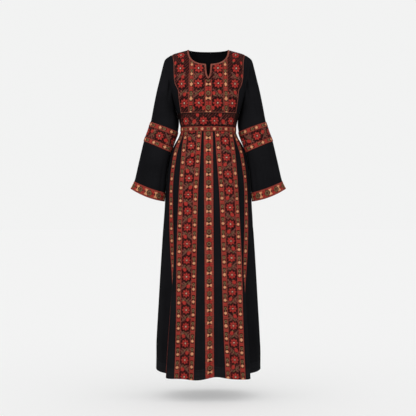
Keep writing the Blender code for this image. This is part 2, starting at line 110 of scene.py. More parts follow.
SkirtLevel = namedtuple("SkirtLevel", "z half_width front back fold")
SKIRT = [
    SkirtLevel(WAIST_Z, 0.1216, 0.098, 0.086, 0.00),
    SkirtLevel(-0.386, 0.1308, 0.104, 0.094, 0.03),
    SkirtLevel(-0.415, 0.1480, 0.112, 0.104, 0.06),
    SkirtLevel(-0.460, 0.1680, 0.120, 0.114, 0.10),
    SkirtLevel(-0.525, 0.1795, 0.127, 0.123, 0.15),
    SkirtLevel(-0.600, 0.1850, 0.134, 0.131, 0.20),
    SkirtLevel(-0.676, 0.1880, 0.140, 0.138, 0.26),
    SkirtLevel(-0.835, 0.199, 0.150, 0.151, 0.42),
    SkirtLevel(-1.099, 0.2146, 0.168, 0.168, 0.72),
    SkirtLevel(-1.363, 0.228, 0.184, 0.182, 0.96),
    SkirtLevel(HEM_Z, 0.2295, 0.187, 0.186, 1.00),
]

Fold = namedtuple("Fold", "angle width out")
FOLDS = [
    Fold(44, 8, 0.043), Fold(57, 9, -0.026), Fold(13, 9, -0.014), Fold(-16, 9, 0.006),
    Fold(-44, 8, 0.043), Fold(-57, 9, -0.026), Fold(112, 11, -0.020), Fold(134, 10, 0.014),
    Fold(158, 11, -0.017), Fold(180, 10, 0.012), Fold(-155, 12, -0.019), Fold(-131, 11, 0.016),
    Fold(-109, 10, -0.018),
]

# Soft creases between the folds: troughs are negative, and each fades out at both ends
Crease = namedtuple("Crease", "angle width top bottom out lean")
SKIRT_CREASES = [
    Crease(-74, 4.0, -0.40, -0.98, -0.0042, -2), Crease(-83, 3.2, -0.62, -1.38, 0.0036, 1),
    Crease(-68, 3.0, -1.02, -1.42, 0.0040, 2), Crease(-93, 3.8, -0.40, -0.80, 0.0034, 2),
    Crease(72, 4.2, -0.39, -0.90, -0.0040, 3), Crease(81, 3.4, -0.70, -1.42, 0.0038, -1),
    Crease(67, 3.1, -1.08, -1.42, -0.0034, -2), Crease(93, 3.8, -0.40, -0.82, 0.0034, -2),
    Crease(6, 2.6, -1.12, -1.42, -0.0022, 1), Crease(-7, 2.4, -1.20, -1.42, 0.0020, -1),
    Crease(28, 3.0, -1.00, -1.42, -0.0030, 2), Crease(-29, 3.2, -1.06, -1.42, -0.0030, -2),
    Crease(103, 4.4, -0.37, -0.70, -0.0048, 2), Crease(122, 4.0, -0.37, -0.96, 0.0046, -2),
    Crease(146, 4.6, -0.38, -0.62, -0.0050, 3), Crease(168, 4.2, -0.37, -0.88, 0.0046, -1),
    Crease(-171, 4.4, -0.38, -0.66, -0.0050, 2), Crease(-144, 4.0, -0.37, -1.02, -0.0044, -2),
    Crease(-121, 4.6, -0.37, -0.78, 0.0050, 2), Crease(-101, 4.0, -0.40, -1.10, -0.0044, -2),
    Crease(170, 3.4, -0.95, -1.42, -0.0036, 2), Crease(-164, 3.6, -1.05, -1.42, 0.0036, -2),
    Crease(143, 3.4, -1.00, -1.42, 0.0034, 1), Crease(-118, 3.4, -1.10, -1.42, -0.0036, -1),
]

ShoulderPoint = namedtuple("ShoulderPoint", "x z")
SHOULDER = [
    ShoulderPoint(NECK_HALF, 0.0), ShoulderPoint(0.1465, -0.0163),
    ShoulderPoint(0.1685, -0.0251), ShoulderPoint(0.1830, -0.0348),
]

ArmholePoint = namedtuple("ArmholePoint", "z x")
ARMHOLE = [
    ArmholePoint(-0.0348, 0.1830), ArmholePoint(-0.0560, 0.1790), ArmholePoint(-0.0850, 0.1730),
    ArmholePoint(-0.1200, 0.1650), ArmholePoint(-0.1550, 0.1585), ArmholePoint(-0.1820, 0.1550),
    ArmholePoint(-0.2010, 0.1545), ArmholePoint(-0.2110, 0.1560), ArmholePoint(ARMPIT_Z, 0.1580),
]
ARMHOLE_ROWS = 9

ChestEdge = namedtuple("ChestEdge", "z x")
CHEST_EDGE = [
    ChestEdge(-0.0205, 0.1570), ChestEdge(-0.060, 0.1505), ChestEdge(-0.130, 0.1480),
    ChestEdge(-0.157, 0.1430), ChestEdge(-0.183, 0.1300), ChestEdge(-0.240, 0.1240),
    ChestEdge(CHEST_BOTTOM_Z, 0.1175),
]
SIDE_FRACTIONS = (0.25, 0.50, 0.72, 0.88, 0.965, 1.0)
TOP_ROWS = (0.0, 0.10, 0.27, 0.50, 0.77, 1.0)
LOW_ROWS = (0.22, 0.36, 0.4278, 0.70, 1.0)

SleeveRing = namedtuple("SleeveRing", "outer_x outer_z inner_x inner_z inner_y depth armhole")
SLEEVE = [
    SleeveRing(0.1830, -0.0348, 0.1580, -0.2150, 0.000, 0.055, 1.00),
    SleeveRing(0.1905, -0.0427, 0.1592, -0.2175, 0.000, 0.056, 0.85),
    SleeveRing(0.1955, -0.0545, 0.1552, -0.2230, 0.012, 0.058, 0.65),
    SleeveRing(0.2010, -0.0750, 0.1512, -0.2340, 0.018, 0.060, 0.40),
    SleeveRing(0.2125, -0.1219, 0.1438, -0.2560, 0.024, 0.061, 0.12),
    SleeveRing(0.2257, -0.1747, 0.1352, -0.2830, 0.030, 0.060, 0.00),
    SleeveRing(0.2400, -0.2450, 0.1288, -0.3200, 0.016, 0.057, 0.00),
    SleeveRing(0.2535, -0.3160, 0.1334, -0.3610, 0.000, 0.054, 0.00),
    SleeveRing(0.2603, -0.3351, 0.1385, -0.3814, -0.004, 0.053, 0.00),
    SleeveRing(0.2766, -0.3809, 0.1564, -0.4302, -0.022, 0.051, 0.00),
    SleeveRing(0.2834, -0.4000, 0.1650, -0.4506, -0.026, 0.050, 0.00),
    SleeveRing(0.3045, -0.4880, 0.1815, -0.5390, -0.027, 0.048, 0.00),
    SleeveRing(0.3256, -0.5768, 0.1885, -0.6274, -0.020, 0.047, 0.00),
    SleeveRing(0.3410, -0.6094, 0.1925, -0.6653, -0.010, 0.048, 0.00),
]
BAND_TOP_RING = 7
BAND_BOTTOM_RING = 10
CUFF_TOP_RING = 12

# Sleeve creases: turn is degrees from the top line towards the front, ring counts down the sleeve
SleeveCrease = namedtuple("SleeveCrease", "turn width top bottom out lean")
SLEEVE_CREASES = [
    SleeveCrease(52, 9, 0.3, 3.6, -0.0044, 14), SleeveCrease(78, 8, 0.6, 4.6, 0.0040, 10),
    SleeveCrease(104, 9, 1.2, 5.4, -0.0042, -12), SleeveCrease(28, 8, 0.5, 2.8, 0.0030, 8),
    SleeveCrease(132, 10, 3.0, 6.8, 0.0036, -8), SleeveCrease(64, 8, 4.4, 6.9, -0.0026, -6),
    SleeveCrease(48, 9, 10.2, 12.2, -0.0030, 8), SleeveCrease(96, 9, 10.1, 12.4, 0.0028, -8),
    SleeveCrease(140, 10, 10.3, 12.6, -0.0030, -6), SleeveCrease(-46, 9, 0.4, 4.0, -0.0044, -12),
    SleeveCrease(-80, 9, 0.8, 5.2, 0.0042, -8), SleeveCrease(-112, 10, 1.4, 6.2, -0.0042, 10),
    SleeveCrease(-62, 9, 10.2, 12.4, 0.0030, -8), SleeveCrease(-118, 10, 10.1, 12.2, -0.0032, 8),
    SleeveCrease(8, 7, 3.8, 6.6, -0.0024, 6), SleeveCrease(172, 12, 1.0, 6.0, -0.0036, 0),
]

BodiceCrease = namedtuple("BodiceCrease", "start end half out")
BODICE_CREASES = [
    BodiceCrease((0.176, -0.060), (0.158, -0.128), 0.0050, -0.0018),
    BodiceCrease((0.170, -0.105), (0.150, -0.190), 0.0060, 0.0018),
    BodiceCrease((0.155, -0.205), (0.132, -0.268), 0.0060, -0.0020),
    BodiceCrease((0.147, -0.232), (0.120, -0.330), 0.0070, 0.0018),
]

# Neck binding, folded over the edge: away from the opening, and out from the cloth
BINDING_PROFILE = [
    (0.0062, 0.0006), (0.0061, 0.0024), (0.0050, 0.0029), (0.0030, 0.0030), (0.0010, 0.0029),
    (-0.0004, 0.0022), (-0.0011, 0.0008), (-0.0009, -0.0010), (0.0004, -0.0020), (0.0024, -0.0022),
    (0.0044, -0.0020), (0.0048, -0.0013),
]

# Figures of the embroidery and the ribbons, in metres along the cloth
PETAL_TURN = math.pi / 4
STRIP_ROSETTE = 0.0185       # radius
MIDRIFF_ROSETTE = 0.0195
CHEST_ROSETTE = 0.0215
TRIM_INNER = 0.0058          # half of a ribbon between its dotted edges
TRIM_REPEAT = 0.0545
TRIM_STARTS = {"inner left": 0.2386, "outer left": 0.2440, "inner right": 0.2333, "outer right": 0.2360}
SIDE_REPEAT = 0.0540
SIDE_STARTS = {"left": 0.0956, "right": 0.0860}
WIDE_REPEATS = {"left": 0.0703, "right": 0.0718}
WIDE_STARTS = {"left": 0.0616, "right": 0.0406}
CENTRE_REPEAT = 0.0528
CENTRE_START = 0.0616
CENTRE_INNER = 0.0115
CHEST_CENTRE_REPEAT = 0.0612
CHEST_CENTRE_INNER = 0.0105
BAND_REPEAT = 0.0727
BAND_START = 0.02
CUFF_REPEAT = 0.046
CUFF_INNER = 0.0120
BELT_REPEAT = 0.0528
BELT_ORDER = ("peach", "olive")
FLANK_REPEAT = 0.0460
FLANK_HEIGHTS = (0.0323, 0.0737, 0.1150, 0.1598, 0.2227, 0.2632, 0.2835)   # below the neck point
FLANK_TURNS = (-1.0, 0.0, 1.0, 2.0, 3.0, 3.67, 4.0)                       # repeats of the ribbon there

Motif = namedtuple("Motif", "x z")
CHEST_ROSETTES = [
    Motif(0.1190, -0.0270), Motif(0.1205, -0.0888), Motif(0.0415, -0.0890), Motif(0.1150, -0.1568),
    Motif(0.0430, -0.1570), Motif(0.1030, -0.2414), Motif(0.0400, -0.2414),
]
CHEST_PAIRS = ((1, 3), (2, 4), (3, 5), (4, 6))     # rosettes with a bud between them, counted from 0
Bud = namedtuple("Bud", "x z lean")
CHEST_BUDS = [
    Bud(0.111, -0.053, 20), Bud(0.143, -0.064, -15), Bud(0.146, -0.122, -15), Bud(0.072, -0.060, 25),
    Bud(0.020, -0.262, -20), Bud(0.066, -0.262, 20), Bud(0.082, -0.200, 10), Bud(0.024, -0.200, -10),
]
CHEST_REACH = 0.162          # half of the front-view width that is charted
CHEST_START = 0.02           # along the cloth from the shoulder seam to the first row of stitches
CHEST_SEAM_HALF = 0.1150
FLANK_TOP_Z = -0.060
MIDRIFF_ROW = 0.036          # middle of the flowers, below the chest seam
MIDRIFF_FLOWERS = (-0.104, -0.021, 0.027, 0.106)
MIDRIFF_BUDS = ((-0.062, 30), (0.066, -30), (-0.148, 20), (0.150, -20))    # across, lean
MIDRIFF_HALF = (0.1155, 0.1185)     # half width of the stitched part at the chest seam and the belt

# Stitch colours
GROUND, DEEP_RED, BRIGHT_RED, RUST, PEACH, OLIVE, STEM, BLACK, PALE = range(9)
THREADS = np.array([
    (0.006, 0.002, 0.002), (0.125, 0.012, 0.011), (0.345, 0.026, 0.020), (0.170, 0.038, 0.026),
    (0.620, 0.270, 0.135), (0.160, 0.098, 0.044), (0.150, 0.048, 0.038), (0.003, 0.002, 0.002),
    (0.560, 0.400, 0.290),
])
CLOTH_BLACK = (0.0052, 0.0052, 0.0060)
BINDING_RED = (0.200, 0.055, 0.040)

# The photograph's view
IMAGE = 416
PIXEL = 0.0044
MIDDLE_COLUMN = 208.3
NECK_ROW = 50.3
DISTANCE = 5.2
SENSOR = 36.0
FLOOR_Z = -1.517
BACKDROP = 0.888
PAPER_GLOW = 0.34            # keeps the shadow on the floor as soft as it is in the photograph
FLOOR_HALF = 40.0
Lamp = namedtuple("Lamp", "name place size power")
LAMPS = (
    Lamp("key", (-2.2, -3.0, 1.6), 1.6, 110), Lamp("fill", (2.6, -2.6, -0.2), 2.0, 45),
    Lamp("back", (0.6, 3.0, 1.2), 1.6, 60),
)
LAMP_AIM = (0, 0, -0.6)


# Reading the tables
def smooth_read(places, values, at):
    """Smooth curve through a table's points that never swings past them."""
    places, values = np.asarray(places, float), np.asarray(values, float)
    steps = np.diff(places)
    slopes = np.diff(values) / steps
    tangents = np.concatenate([slopes[:1], np.zeros(len(slopes) - 1), slopes[-1:]])
    for k in range(1, len(slopes)):
        before, after = slopes[k - 1], slopes[k]
        if before * after > 0:
            left, right = 2 * steps[k] + steps[k - 1], steps[k] + 2 * steps[k - 1]
            tangents[k] = (left + right) / (left / before + right / after)
    at = np.clip(at, places[0], places[-1])
    k = np.clip(np.searchsorted(places, at) - 1, 0, len(steps) - 1)
    t = (at - places[k]) / steps[k]
    return (values[k] * (1 + 2 * t) * (1 - t) ** 2 + values[k + 1] * t * t * (3 - 2 * t)
            + steps[k] * tangents[k] * t * (1 - t) ** 2 - steps[k] * tangents[k + 1] * t * t * (1 - t))


def level(table, column, z):
    """Value of one column of a table at the heights z."""
    rows = sorted(table, key=lambda row: row.z)
    return smooth_read([row.z for row in rows], [getattr(row, column) for row in rows], z)


def fade(at, start, end, soft):
    """1 between start and end, falling smoothly to 0 over soft outside them."""
    rise = np.clip((at - start) / soft + 0.5, 0, 1)
    fall = np.clip((end - at) / soft + 0.5, 0, 1)
    return (rise * rise * (3 - 2 * rise)) * (fall * fall * (3 - 2 * fall))


def unit(vectors):
    return vectors / np.maximum(np.linalg.norm(vectors, axis=-1), 1e-12)[..., None]


def walked_along(path):
    """Distance along a line of points from its first one."""
    return np.concatenate([[0.0], np.cumsum(np.linalg.norm(np.diff(path, axis=0), axis=1))])


def middles(values, axis):
    """Halfway values between neighbours along one axis."""
    values = np.moveaxis(values, axis, 0)
    return np.moveaxis((values[1:] + values[:-1]) / 2, 0, axis)


def cell_middles(grid):
    return middles(middles(grid, 0), 1)


# The form of the dress
def shoulder_height(x, side):
    """Height of the shoulder line above a place, the neck opening included."""
    x = np.abs(x)
    rise = BACK_NECK_RISE if side == "back" else 0.0
    inside = rise * (1 - np.minimum(x / NECK_HALF, 1) ** 2.5)
    outside = np.interp(x, [p.x for p in SHOULDER], [p.z for p in SHOULDER])
    return np.where(x < NECK_HALF, inside, outside)


def bodice_depth(x, z, side):
    half = level(BODY, "half_width", z)
    across = np.maximum(1 - (np.abs(x) / half) ** BODY_POWER, 0) ** (1 / BODY_POWER)
    return level(BODY, side, z) * across


def bodice_crease(x, z):
    """How far the soft creases beside the armholes lift the cloth."""
    lift = np.zeros(np.broadcast(x, z).shape)
    for (x0, z0), (x1, z1), half, out in BODICE_CREASES:
        length = math.hypot(x1 - x0, z1 - z0)
        along = ((np.abs(x) - x0) * (x1 - x0) + (z - z0) * (z1 - z0)) / length
        aside = ((np.abs(x) - x0) * (z1 - z0) - (z - z0) * (x1 - x0)) / length
        lift += out * np.exp(-(aside / half) ** 2) * fade(along, 0.1 * length, 0.9 * length, 0.3 * length)
    return lift


def bodice_points(x, z, side):
    """Points of the bodice over front-view places, as an array with x, y and z last."""
    drop = np.maximum(shoulder_height(x, side) - z, 0.0) / SHOULDER_ROUND[side]
    rounding = np.sqrt(1 - (1 - np.minimum(drop, 1.0)) ** 2)
    depth = bodice_depth(x, z, side) * rounding
    depth = depth + bodice_crease(x, z) * np.minimum(drop, 1.0)
    return np.stack([x + 0 * depth, -depth if side == "front" else depth, z + 0 * depth], axis=-1)


def bodice_level(points, side):
    """A field that is 1 on the bodice and grows outwards."""
    x, y, z = points[..., 0], points[..., 1], points[..., 2]
    drop = (shoulder_height(x, side) - z) / SHOULDER_ROUND[side]
    depth = np.maximum(bodice_depth(x, z, side), 0.004)
    return (y / depth) ** 2 + (1 - np.minimum(drop, 1.0)) ** 2


def bodice_normals(points, side):
    step = 0.0002
    slopes = []
    for axis in range(3):
        shift = np.zeros(3)
        shift[axis] = step
        slopes.append(bodice_level(points + shift, side) - bodice_level(points - shift, side))
    normals = np.stack(slopes, axis=-1)
    return normals / np.maximum(np.linalg.norm(normals, axis=-1), 1e-9)[..., None]


def front_neck_height(x):
    return -NECK_DEPTH * np.maximum(1 - (np.abs(x) / NECK_HALF) ** NECK_POWER, 0.0) ** (1 / NECK_POWER)


def back_neck_height(x):
    return BACK_NECK_Z * (1 - (x / NECK_HALF) ** 2)


def slit_half(z):
    return np.interp(z, [p[0] for p in SLIT], [p[1] for p in SLIT])


def chest_edge(z):
    """Front-view edge of the chest panel."""
    return np.interp(-z, [-p.z for p in CHEST_EDGE], [p.x for p in CHEST_EDGE])


def side_edge(z):
    """Front-view edge of the bodice: the armhole, then the side seam."""
    armhole = np.interp(-z, [-p.z for p in ARMHOLE], [p.x for p in ARMHOLE])
    return np.where(z > ARMPIT_Z, armhole, level(BODY, "half_width", z))


Column = namedtuple("Column", "top_x top_z bottom_x fraction")


def panel_columns(neck_places, shoulder_places, side):
    """Columns of the +X half: through the neck, the shoulder seam, then towards the side."""
    columns = [Column(x, z, bottom, None) for x, z, bottom in neck_places]
    columns += [Column(x, shoulder_height(x, side), bottom, None) for x, bottom in shoulder_places]
    edge_top, edge_bottom = CHEST_EDGE[0].x, CHEST_EDGE[-1].x
    for fraction in (0.0,) + SIDE_FRACTIONS:
        x = edge_top + fraction * (SHOULDER[-1].x - edge_top)
        bottom = edge_bottom + fraction * (side_edge(CHEST_BOTTOM_Z) - edge_bottom)
        columns.append(Column(x, shoulder_height(x, side), bottom, fraction))
    return columns


def front_columns():
    """Neck places are x, z and the x at the chest seam; shoulder places leave out z."""
    slit = [(0.0, SLIT_END_Z, 0.0), (0.0068, -0.116, 0.0050), (0.0093, -0.095, 0.0095),
            (0.0108, front_neck_height(0.0108), 0.0125)]
    neck = [(x, front_neck_height(x), bottom) for x, bottom in (
        (0.0155, 0.0155), (0.032, 0.033), (0.050, 0.051), (0.0655, 0.0690), (0.0770, 0.0840))]
    return panel_columns(slit + neck, ((NECK_HALF, 0.0945), (0.110, 0.1020), (0.135, 0.1100)), "front")


def back_columns():
    neck = [(x, back_neck_height(x), x) for x in (0.0, 0.025, 0.050, 0.072)]
    return panel_columns(neck, ((NECK_HALF, 0.0860), (0.110, 0.0975), (0.135, 0.1085)), "back")


def column_places(column, levels):
    """Front-view places down one column, to the chest seam and any levels below it."""
    middle = LEVEL_Z["centre"] + (column.fraction or 0.0) * (LEVEL_Z["side"] - LEVEL_Z["centre"])
    heights = [column.top_z + share * (middle - column.top_z) for share in TOP_ROWS]
    heights += [middle + share * (CHEST_BOTTOM_Z - middle) for share in LOW_ROWS]
    places = []
    for z in heights:
        share = (column.top_z - z) / (column.top_z - CHEST_BOTTOM_Z)
        x = column.top_x + share * (column.bottom_x - column.top_x)
        if column.fraction is not None and z < column.top_z:
            edge = chest_edge(z)
            x = edge + column.fraction * (side_edge(z) - edge)
        places.append((x, z))
    share = column.bottom_x / side_edge(CHEST_BOTTOM_Z)
    return places + [(share * side_edge(z), z) for z in levels]


def bodice_places(columns, levels=()):
    """Front-view grid of both halves, rows downwards, columns from -X to +X."""
    half = np.array([column_places(column, levels) for column in columns], dtype=float)
    other = half[:0:-1] * (-1, 1)
    return np.concatenate([other, half]).transpose(1, 0, 2)


def refined(grid, times):
    """The grid with each of its steps cut into equal parts, along both axes."""
    for axis in (0, 1):
        count = grid.shape[axis]
        spots = np.linspace(0, count - 1, (count - 1) * times + 1)
        low = np.minimum(spots.astype(int), count - 2)
        share = (spots - low).reshape([-1 if a == axis else 1 for a in range(grid.ndim)])
        grid = np.take(grid, low, axis) * (1 - share) + np.take(grid, low + 1, axis) * share
    return grid


def skirt_points(angle, z):
    angle = (angle + 180) % 360 - 180
    turn = np.radians(angle)
    half = level(SKIRT, "half_width", z)
    deep = np.where(np.abs(angle) <= 90, level(SKIRT, "front", z), level(SKIRT, "back", z))
    power = BODY_POWER
    oval_sum = (np.abs(np.sin(turn)) / half) ** power + (np.abs(np.cos(turn)) / deep) ** power
    radius = oval_sum ** (-1 / power)
    swell = 0.0
    for fold in FOLDS:
        away = (angle - fold.angle + 180) % 360 - 180
        swell = swell + fold.out * np.exp(-(away / fold.width) ** 2)
    radius = radius + swell * level(SKIRT, "fold", z)
    for crease in SKIRT_CREASES:
        down = (z - crease.top) / (crease.bottom - crease.top)
        away = (angle - crease.angle - crease.lean * down + 180) % 360 - 180
        reach = fade(-z, -crease.top + 0.05, -crease.bottom - 0.04, 0.12)
        radius = radius + crease.out * reach * np.exp(-(away / crease.width) ** 2)
    depth = (z - WAIST_Z) / (HEM_Z - WAIST_Z)
    lift = HEM_RIPPLE * np.cos(3 * turn) * np.cos(turn) ** 2 - HEM_DROP + HEM_LIFT * np.sin(turn) ** 4
    lift = lift + HEM_WAVE * np.sin(6 * turn) * np.exp(-(angle / HEM_WAVE_SPREAD) ** 2)
    return np.stack([radius * np.sin(turn), -radius * np.cos(turn), z + lift * depth ** 3], axis=-1)


def skirt_normals(angle, z):
    across = skirt_points(angle + 0.2, z) - skirt_points(angle - 0.2, z)
    down = skirt_points(angle, z - 0.001) - skirt_points(angle, z + 0.001)
    return unit(np.cross(down, across))


def skirt_angles(heights, distances):
    """Angles at signed distances along the cloth from the centre line, a row for each height."""
    angles = np.linspace(-92, 92, 921)
    points = skirt_points(angles[None, :], heights[:, None])
    lengths = np.cumsum(np.linalg.norm(np.diff(points, axis=1), axis=-1), axis=1)
    lengths = np.concatenate([np.zeros((len(heights), 1)), lengths], axis=1)
    found = np.empty(distances.shape)
    for row, z in enumerate(heights):
        depth = (z - WAIST_Z) / (HEM_Z - WAIST_Z)
        centre = math.degrees(math.atan2(CENTRE_DRIFT * depth, level(SKIRT, "front", z)))
        along = lengths[row] - np.interp(centre, angles, lengths[row])
        found[row] = np.interp(distances[row], along, angles)
    return found


def strip_edges(depth):
    """Distances along the cloth from the centre line, a value of depth for each row."""
    inner = smooth_read(GORE_DEPTHS, INNER_GORES, depth)
    outer = smooth_read(GORE_DEPTHS, OUTER_GORES, depth)
    start = CENTRE_HALF + inner
    end = start + WIDE_STRIP
    return {"centre": (-CENTRE_HALF + 0 * start, CENTRE_HALF + 0 * start), "wide": (start, end),
            "inner": (start, start + TRIM), "outer": (end - TRIM, end),
            "side": (end + outer, end + outer + TRIM)}


def sleeve_ellipse(ring, turn):
    """Points of an oval section; ring and turn are arrays of the same shape."""
    rows = np.arange(len(SLEEVE))
    values = {name: smooth_read(rows, [getattr(row, name) for row in SLEEVE], ring)
              for name in ("outer_x", "outer_z", "inner_x", "inner_z", "inner_y", "depth")}
    nothing = 0 * values["depth"]
    outer = np.stack([values["outer_x"], nothing, values["outer_z"]], axis=-1)
    inner = np.stack([values["inner_x"], values["inner_y"], values["inner_z"]], axis=-1)
    deep = np.stack([nothing, -values["depth"], nothing], axis=-1)
    return ((outer + inner) / 2 + np.cos(turn)[..., None] * (outer - inner) / 2
            + np.sin(turn)[..., None] * deep)


def sleeve_centre(ring):
    return (sleeve_ellipse(ring, 0 * ring) + sleeve_ellipse(ring, 0 * ring + math.pi)) / 2


def sleeve_crease(ring, turn):
    lift = 0.0
    for crease in SLEEVE_CREASES:
        down = (ring - crease.top) / (crease.bottom - crease.top)
        away = (np.degrees(turn) - crease.turn - crease.lean * down + 180) % 360 - 180
        length = crease.bottom - crease.top
        reach = fade(ring, crease.top + 0.15 * length, crease.bottom - 0.15 * length, 0.4 * length)
        lift = lift + crease.out * reach * np.exp(-(away / crease.width) ** 2)
    return lift


def sleeve_points(ring, turn, loop=None):
    """Points of the +X sleeve; loop is its armhole edge, a point for each turn."""
    points = sleeve_ellipse(ring, turn)
    if loop is not None:
        share = smooth_read(np.arange(len(SLEEVE)), [row.armhole for row in SLEEVE], ring)
        points = points + share[..., None] * (loop - sleeve_ellipse(0 * ring, turn))
    sag = CUFF_SAG * np.clip((ring - CUFF_SAG_RING) / (len(SLEEVE) - 1 - CUFF_SAG_RING), 0, 1) ** 2
    points = points - np.stack([0 * sag, 0 * sag, sag * np.sin(turn) ** 2], axis=-1)
    return points + sleeve_crease(ring, turn)[..., None] * unit(points - sleeve_centre(ring))


# Materials
class Value:
    """A node's socket; sums and products on it add their Math nodes."""

    def __init__(self, look, socket):
        self.look = look
        self.socket = socket

    def maths(self, operation, *values):
        return self.look.node("ShaderNodeMath", {"operation": operation}, dict(enumerate(values)))

    def __add__(self, other):
        return self.maths("ADD", self, other)

    def __sub__(self, other):
        return self.maths("SUBTRACT", self, other)

    def __rsub__(self, other):
        return self.maths("SUBTRACT", other, self)

    def __mul__(self, other):
        return self.maths("MULTIPLY", self, other)

    def at_least(self, other):
        return self.maths("MAXIMUM", self, other)

    def size(self):
        return self.maths("ABSOLUTE", self)

    def whole_less(self):
        """What is left over the whole number below."""
        return self.maths("FRACT", self)

    def clear_step(self, low, high):
        """0 below low, 1 above high, smooth between."""
        return self.look.node("ShaderNodeMapRange", {"interpolation_type": "SMOOTHSTEP"},
                              {"Value": self, "From Min": low, "From Max": high})


class Look:
    """One finish: a Principled shader and the nodes that feed it."""

    def __init__(self, name, roughness, gloss=0.025):
        self.material = bpy.data.materials.new(name)
        self.material.use_nodes = True
        self.nodes = self.material.node_tree.nodes
        self.links = self.material.node_tree.links
        self.shader = self.nodes["Principled BSDF"]
        constants = {"Roughness": roughness, "Metallic": 0.0, "Specular IOR Level": gloss}
        for socket, value in constants.items():
            self.shader.inputs[socket].default_value = value

    def node(self, kind, settings=None, sockets=None, output=0):
        made = self.nodes.new(kind)
        for name, value in (settings or {}).items():
            setattr(made, name, value)
        for place, value in (sockets or {}).items():
            self.feed(made.inputs[place], value)
        return Value(self, made.outputs[output])

    def feed(self, socket, value):
        if isinstance(value, Value):
            self.links.new(value.socket, socket)
        else:
            socket.default_value = value

    def mix(self, factor, first, second):
        """A colour between two others."""
        return self.node("ShaderNodeMix", {"data_type": "RGBA"}, {0: factor, 6: first, 7: second}, output=2)

    def noise(self, scale, detail=3.0):
        place = self.node("ShaderNodeTexCoord", output=3)
        return self.node("ShaderNodeTexNoise", {},
                         {"Vector": place, "Scale": scale, "Detail": detail, "Roughness": 0.55})

    def places(self, uv_map):
        """The two numbers of a UV map."""
        place = self.node("ShaderNodeUVMap", {"uv_map": uv_map})
        parts = self.node("ShaderNodeSeparateXYZ", {}, {0: place})
        return parts, Value(self, parts.socket.node.outputs[1])

    def painted(self, name, output=2):
        """A number or colour kept on the mesh."""
        return self.node("ShaderNodeAttribute", {"attribute_name": name}, output=output)

    def finish(self, colour, roughness, height, bump_distance, bump_strength=1.0):
        self.feed(self.shader.inputs["Base Color"], colour)
        self.feed(self.shader.inputs["Roughness"], roughness)
        bump = self.node("ShaderNodeBump", {},
                         {"Height": height, "Distance": bump_distance, "Strength": bump_strength})
        self.feed(self.shader.inputs["Normal"], bump)
        return self.material


def weave(look, threads):
    """Height of a plain weave, threads to the metre, over the cloth's own places in the UV map."""
    across, along = look.places("cloth")
    warp = ((across * threads).whole_less() - 0.5).size()
    weft = ((along * threads).whole_less() - 0.5).size()
    over = ((across * (threads / 2)).whole_less() - 0.5).clear_step(-0.05, 0.05)
    return warp * over + weft * (1 - over)


def black_cloth_look():
    """Matt crepe with a fine weave, its black lighter and darker in soft random patches, and painted sheen,
    a lighter grey, on the turned hem.
    """
    look = Look("black_crepe", 0.86, gloss=0.008)
    broad = look.noise(9.0, 4.0)
    fine = look.noise(420.0, 2.0)
    # Mask of the turned hem, where the painted sheen goes
    turned = look.painted("hem")
    shade = (broad * 0.5 + fine * 0.5).clear_step(0.3, 0.72)
    dark = (*(0.78 * c for c in CLOTH_BLACK), 1)
    light = (*(1.35 * c for c in CLOTH_BLACK), 1)
    colour = look.mix(shade, dark, light)
    # Painted sheen: the turned hem is mixed a third of the way towards a lighter grey
    colour = look.mix(turned * 0.32, colour, (0.0120, 0.0120, 0.0135, 1))
    height = weave(look, 900.0) + fine * 0.9
    return look.finish(colour, broad * 0.14 + 0.78, height, 0.00012, 0.7)


def stitched_look(name, dulling):
    """Cotton cross-stitch: two crossing strands in each cell, dark cloth in its corners."""
    look = Look(name, 0.62)
    across, along = (place.whole_less() for place in look.places("cells"))
    under = 1 - (across - along).size().clear_step(0.16, 0.36)
    over = 1 - (across + along - 1).size().clear_step(0.16, 0.36)
    strand = over.at_least(under * 0.72)
    ply = ((across - along) * 3.0).whole_less().clear_step(0.0, 0.5) * over
    thread = look.painted("thread", output=0)
    uneven = look.noise(150.0, 3.0)
    faded = look.noise(16.0, 3.0)
    colour = look.mix(uneven.clear_step(0.25, 0.8) * 0.22, thread, (0.020, 0.006, 0.005, 1))
    colour = look.mix(faded.clear_step(0.35, 0.75) * dulling, colour, (0.210, 0.105, 0.070, 1))
    colour = look.mix(1 - strand.clear_step(0.05, 0.45), colour, (0.014, 0.006, 0.006, 1))
    return look.finish(colour, uneven * 0.2 + 0.52, strand + ply * 0.2, 0.0005, 0.75)


def braid_look():
    """Narrow woven binding with slanting ribs, and painted shade that darkens the grooves between them."""
    look = Look("binding_braid", 0.66)
    across, along = look.places("cells")
    rib = (across + along).whole_less() - 0.5
    ridge = 1 - (rib.size() * 2.0).clear_step(0.2, 1.0)
    worn = look.noise(70.0, 3.0)
    # Painted shade: the red falls to 0.45 of itself in the grooves between the ribs
    colour = look.mix(ridge, (*(0.45 * c for c in BINDING_RED), 1), (*BINDING_RED, 1))
    colour = look.mix(worn.clear_step(0.45, 0.8) * 0.4, colour, (0.290, 0.110, 0.080, 1))
    return look.finish(colour, worn * 0.2 + 0.55, ridge, 0.0004, 0.8)


def thread_look():
    """Black sewing thread, twisted, with a slight gloss."""
    look = Look("sewing_thread", 0.5)
    twist = look.noise(900.0, 2.0)
    colour = look.mix(twist, (0.012, 0.012, 0.014, 1), (0.032, 0.032, 0.035, 1))
    return look.finish(colour, twist * 0.2 + 0.4, twist, 0.0002)


def studio_look():
    look = Look("studio_paper", 1.0, gloss=0.0)
    grain = look.noise(300.0, 2.0)
    colour = look.mix(grain, (0.620, 0.620, 0.620, 1), (0.632, 0.632, 0.632, 1))
    # The paper glows evenly: painted light that lightens the dress's shadow on the floor
    look.shader.inputs["Emission Color"].default_value = (1.0, 1.0, 1.0, 1.0)
    look.shader.inputs["Emission Strength"].default_value = PAPER_GLOW
    return look.finish(colour, grain * 0.02 + 0.97, grain, 0.00002, 0.1)


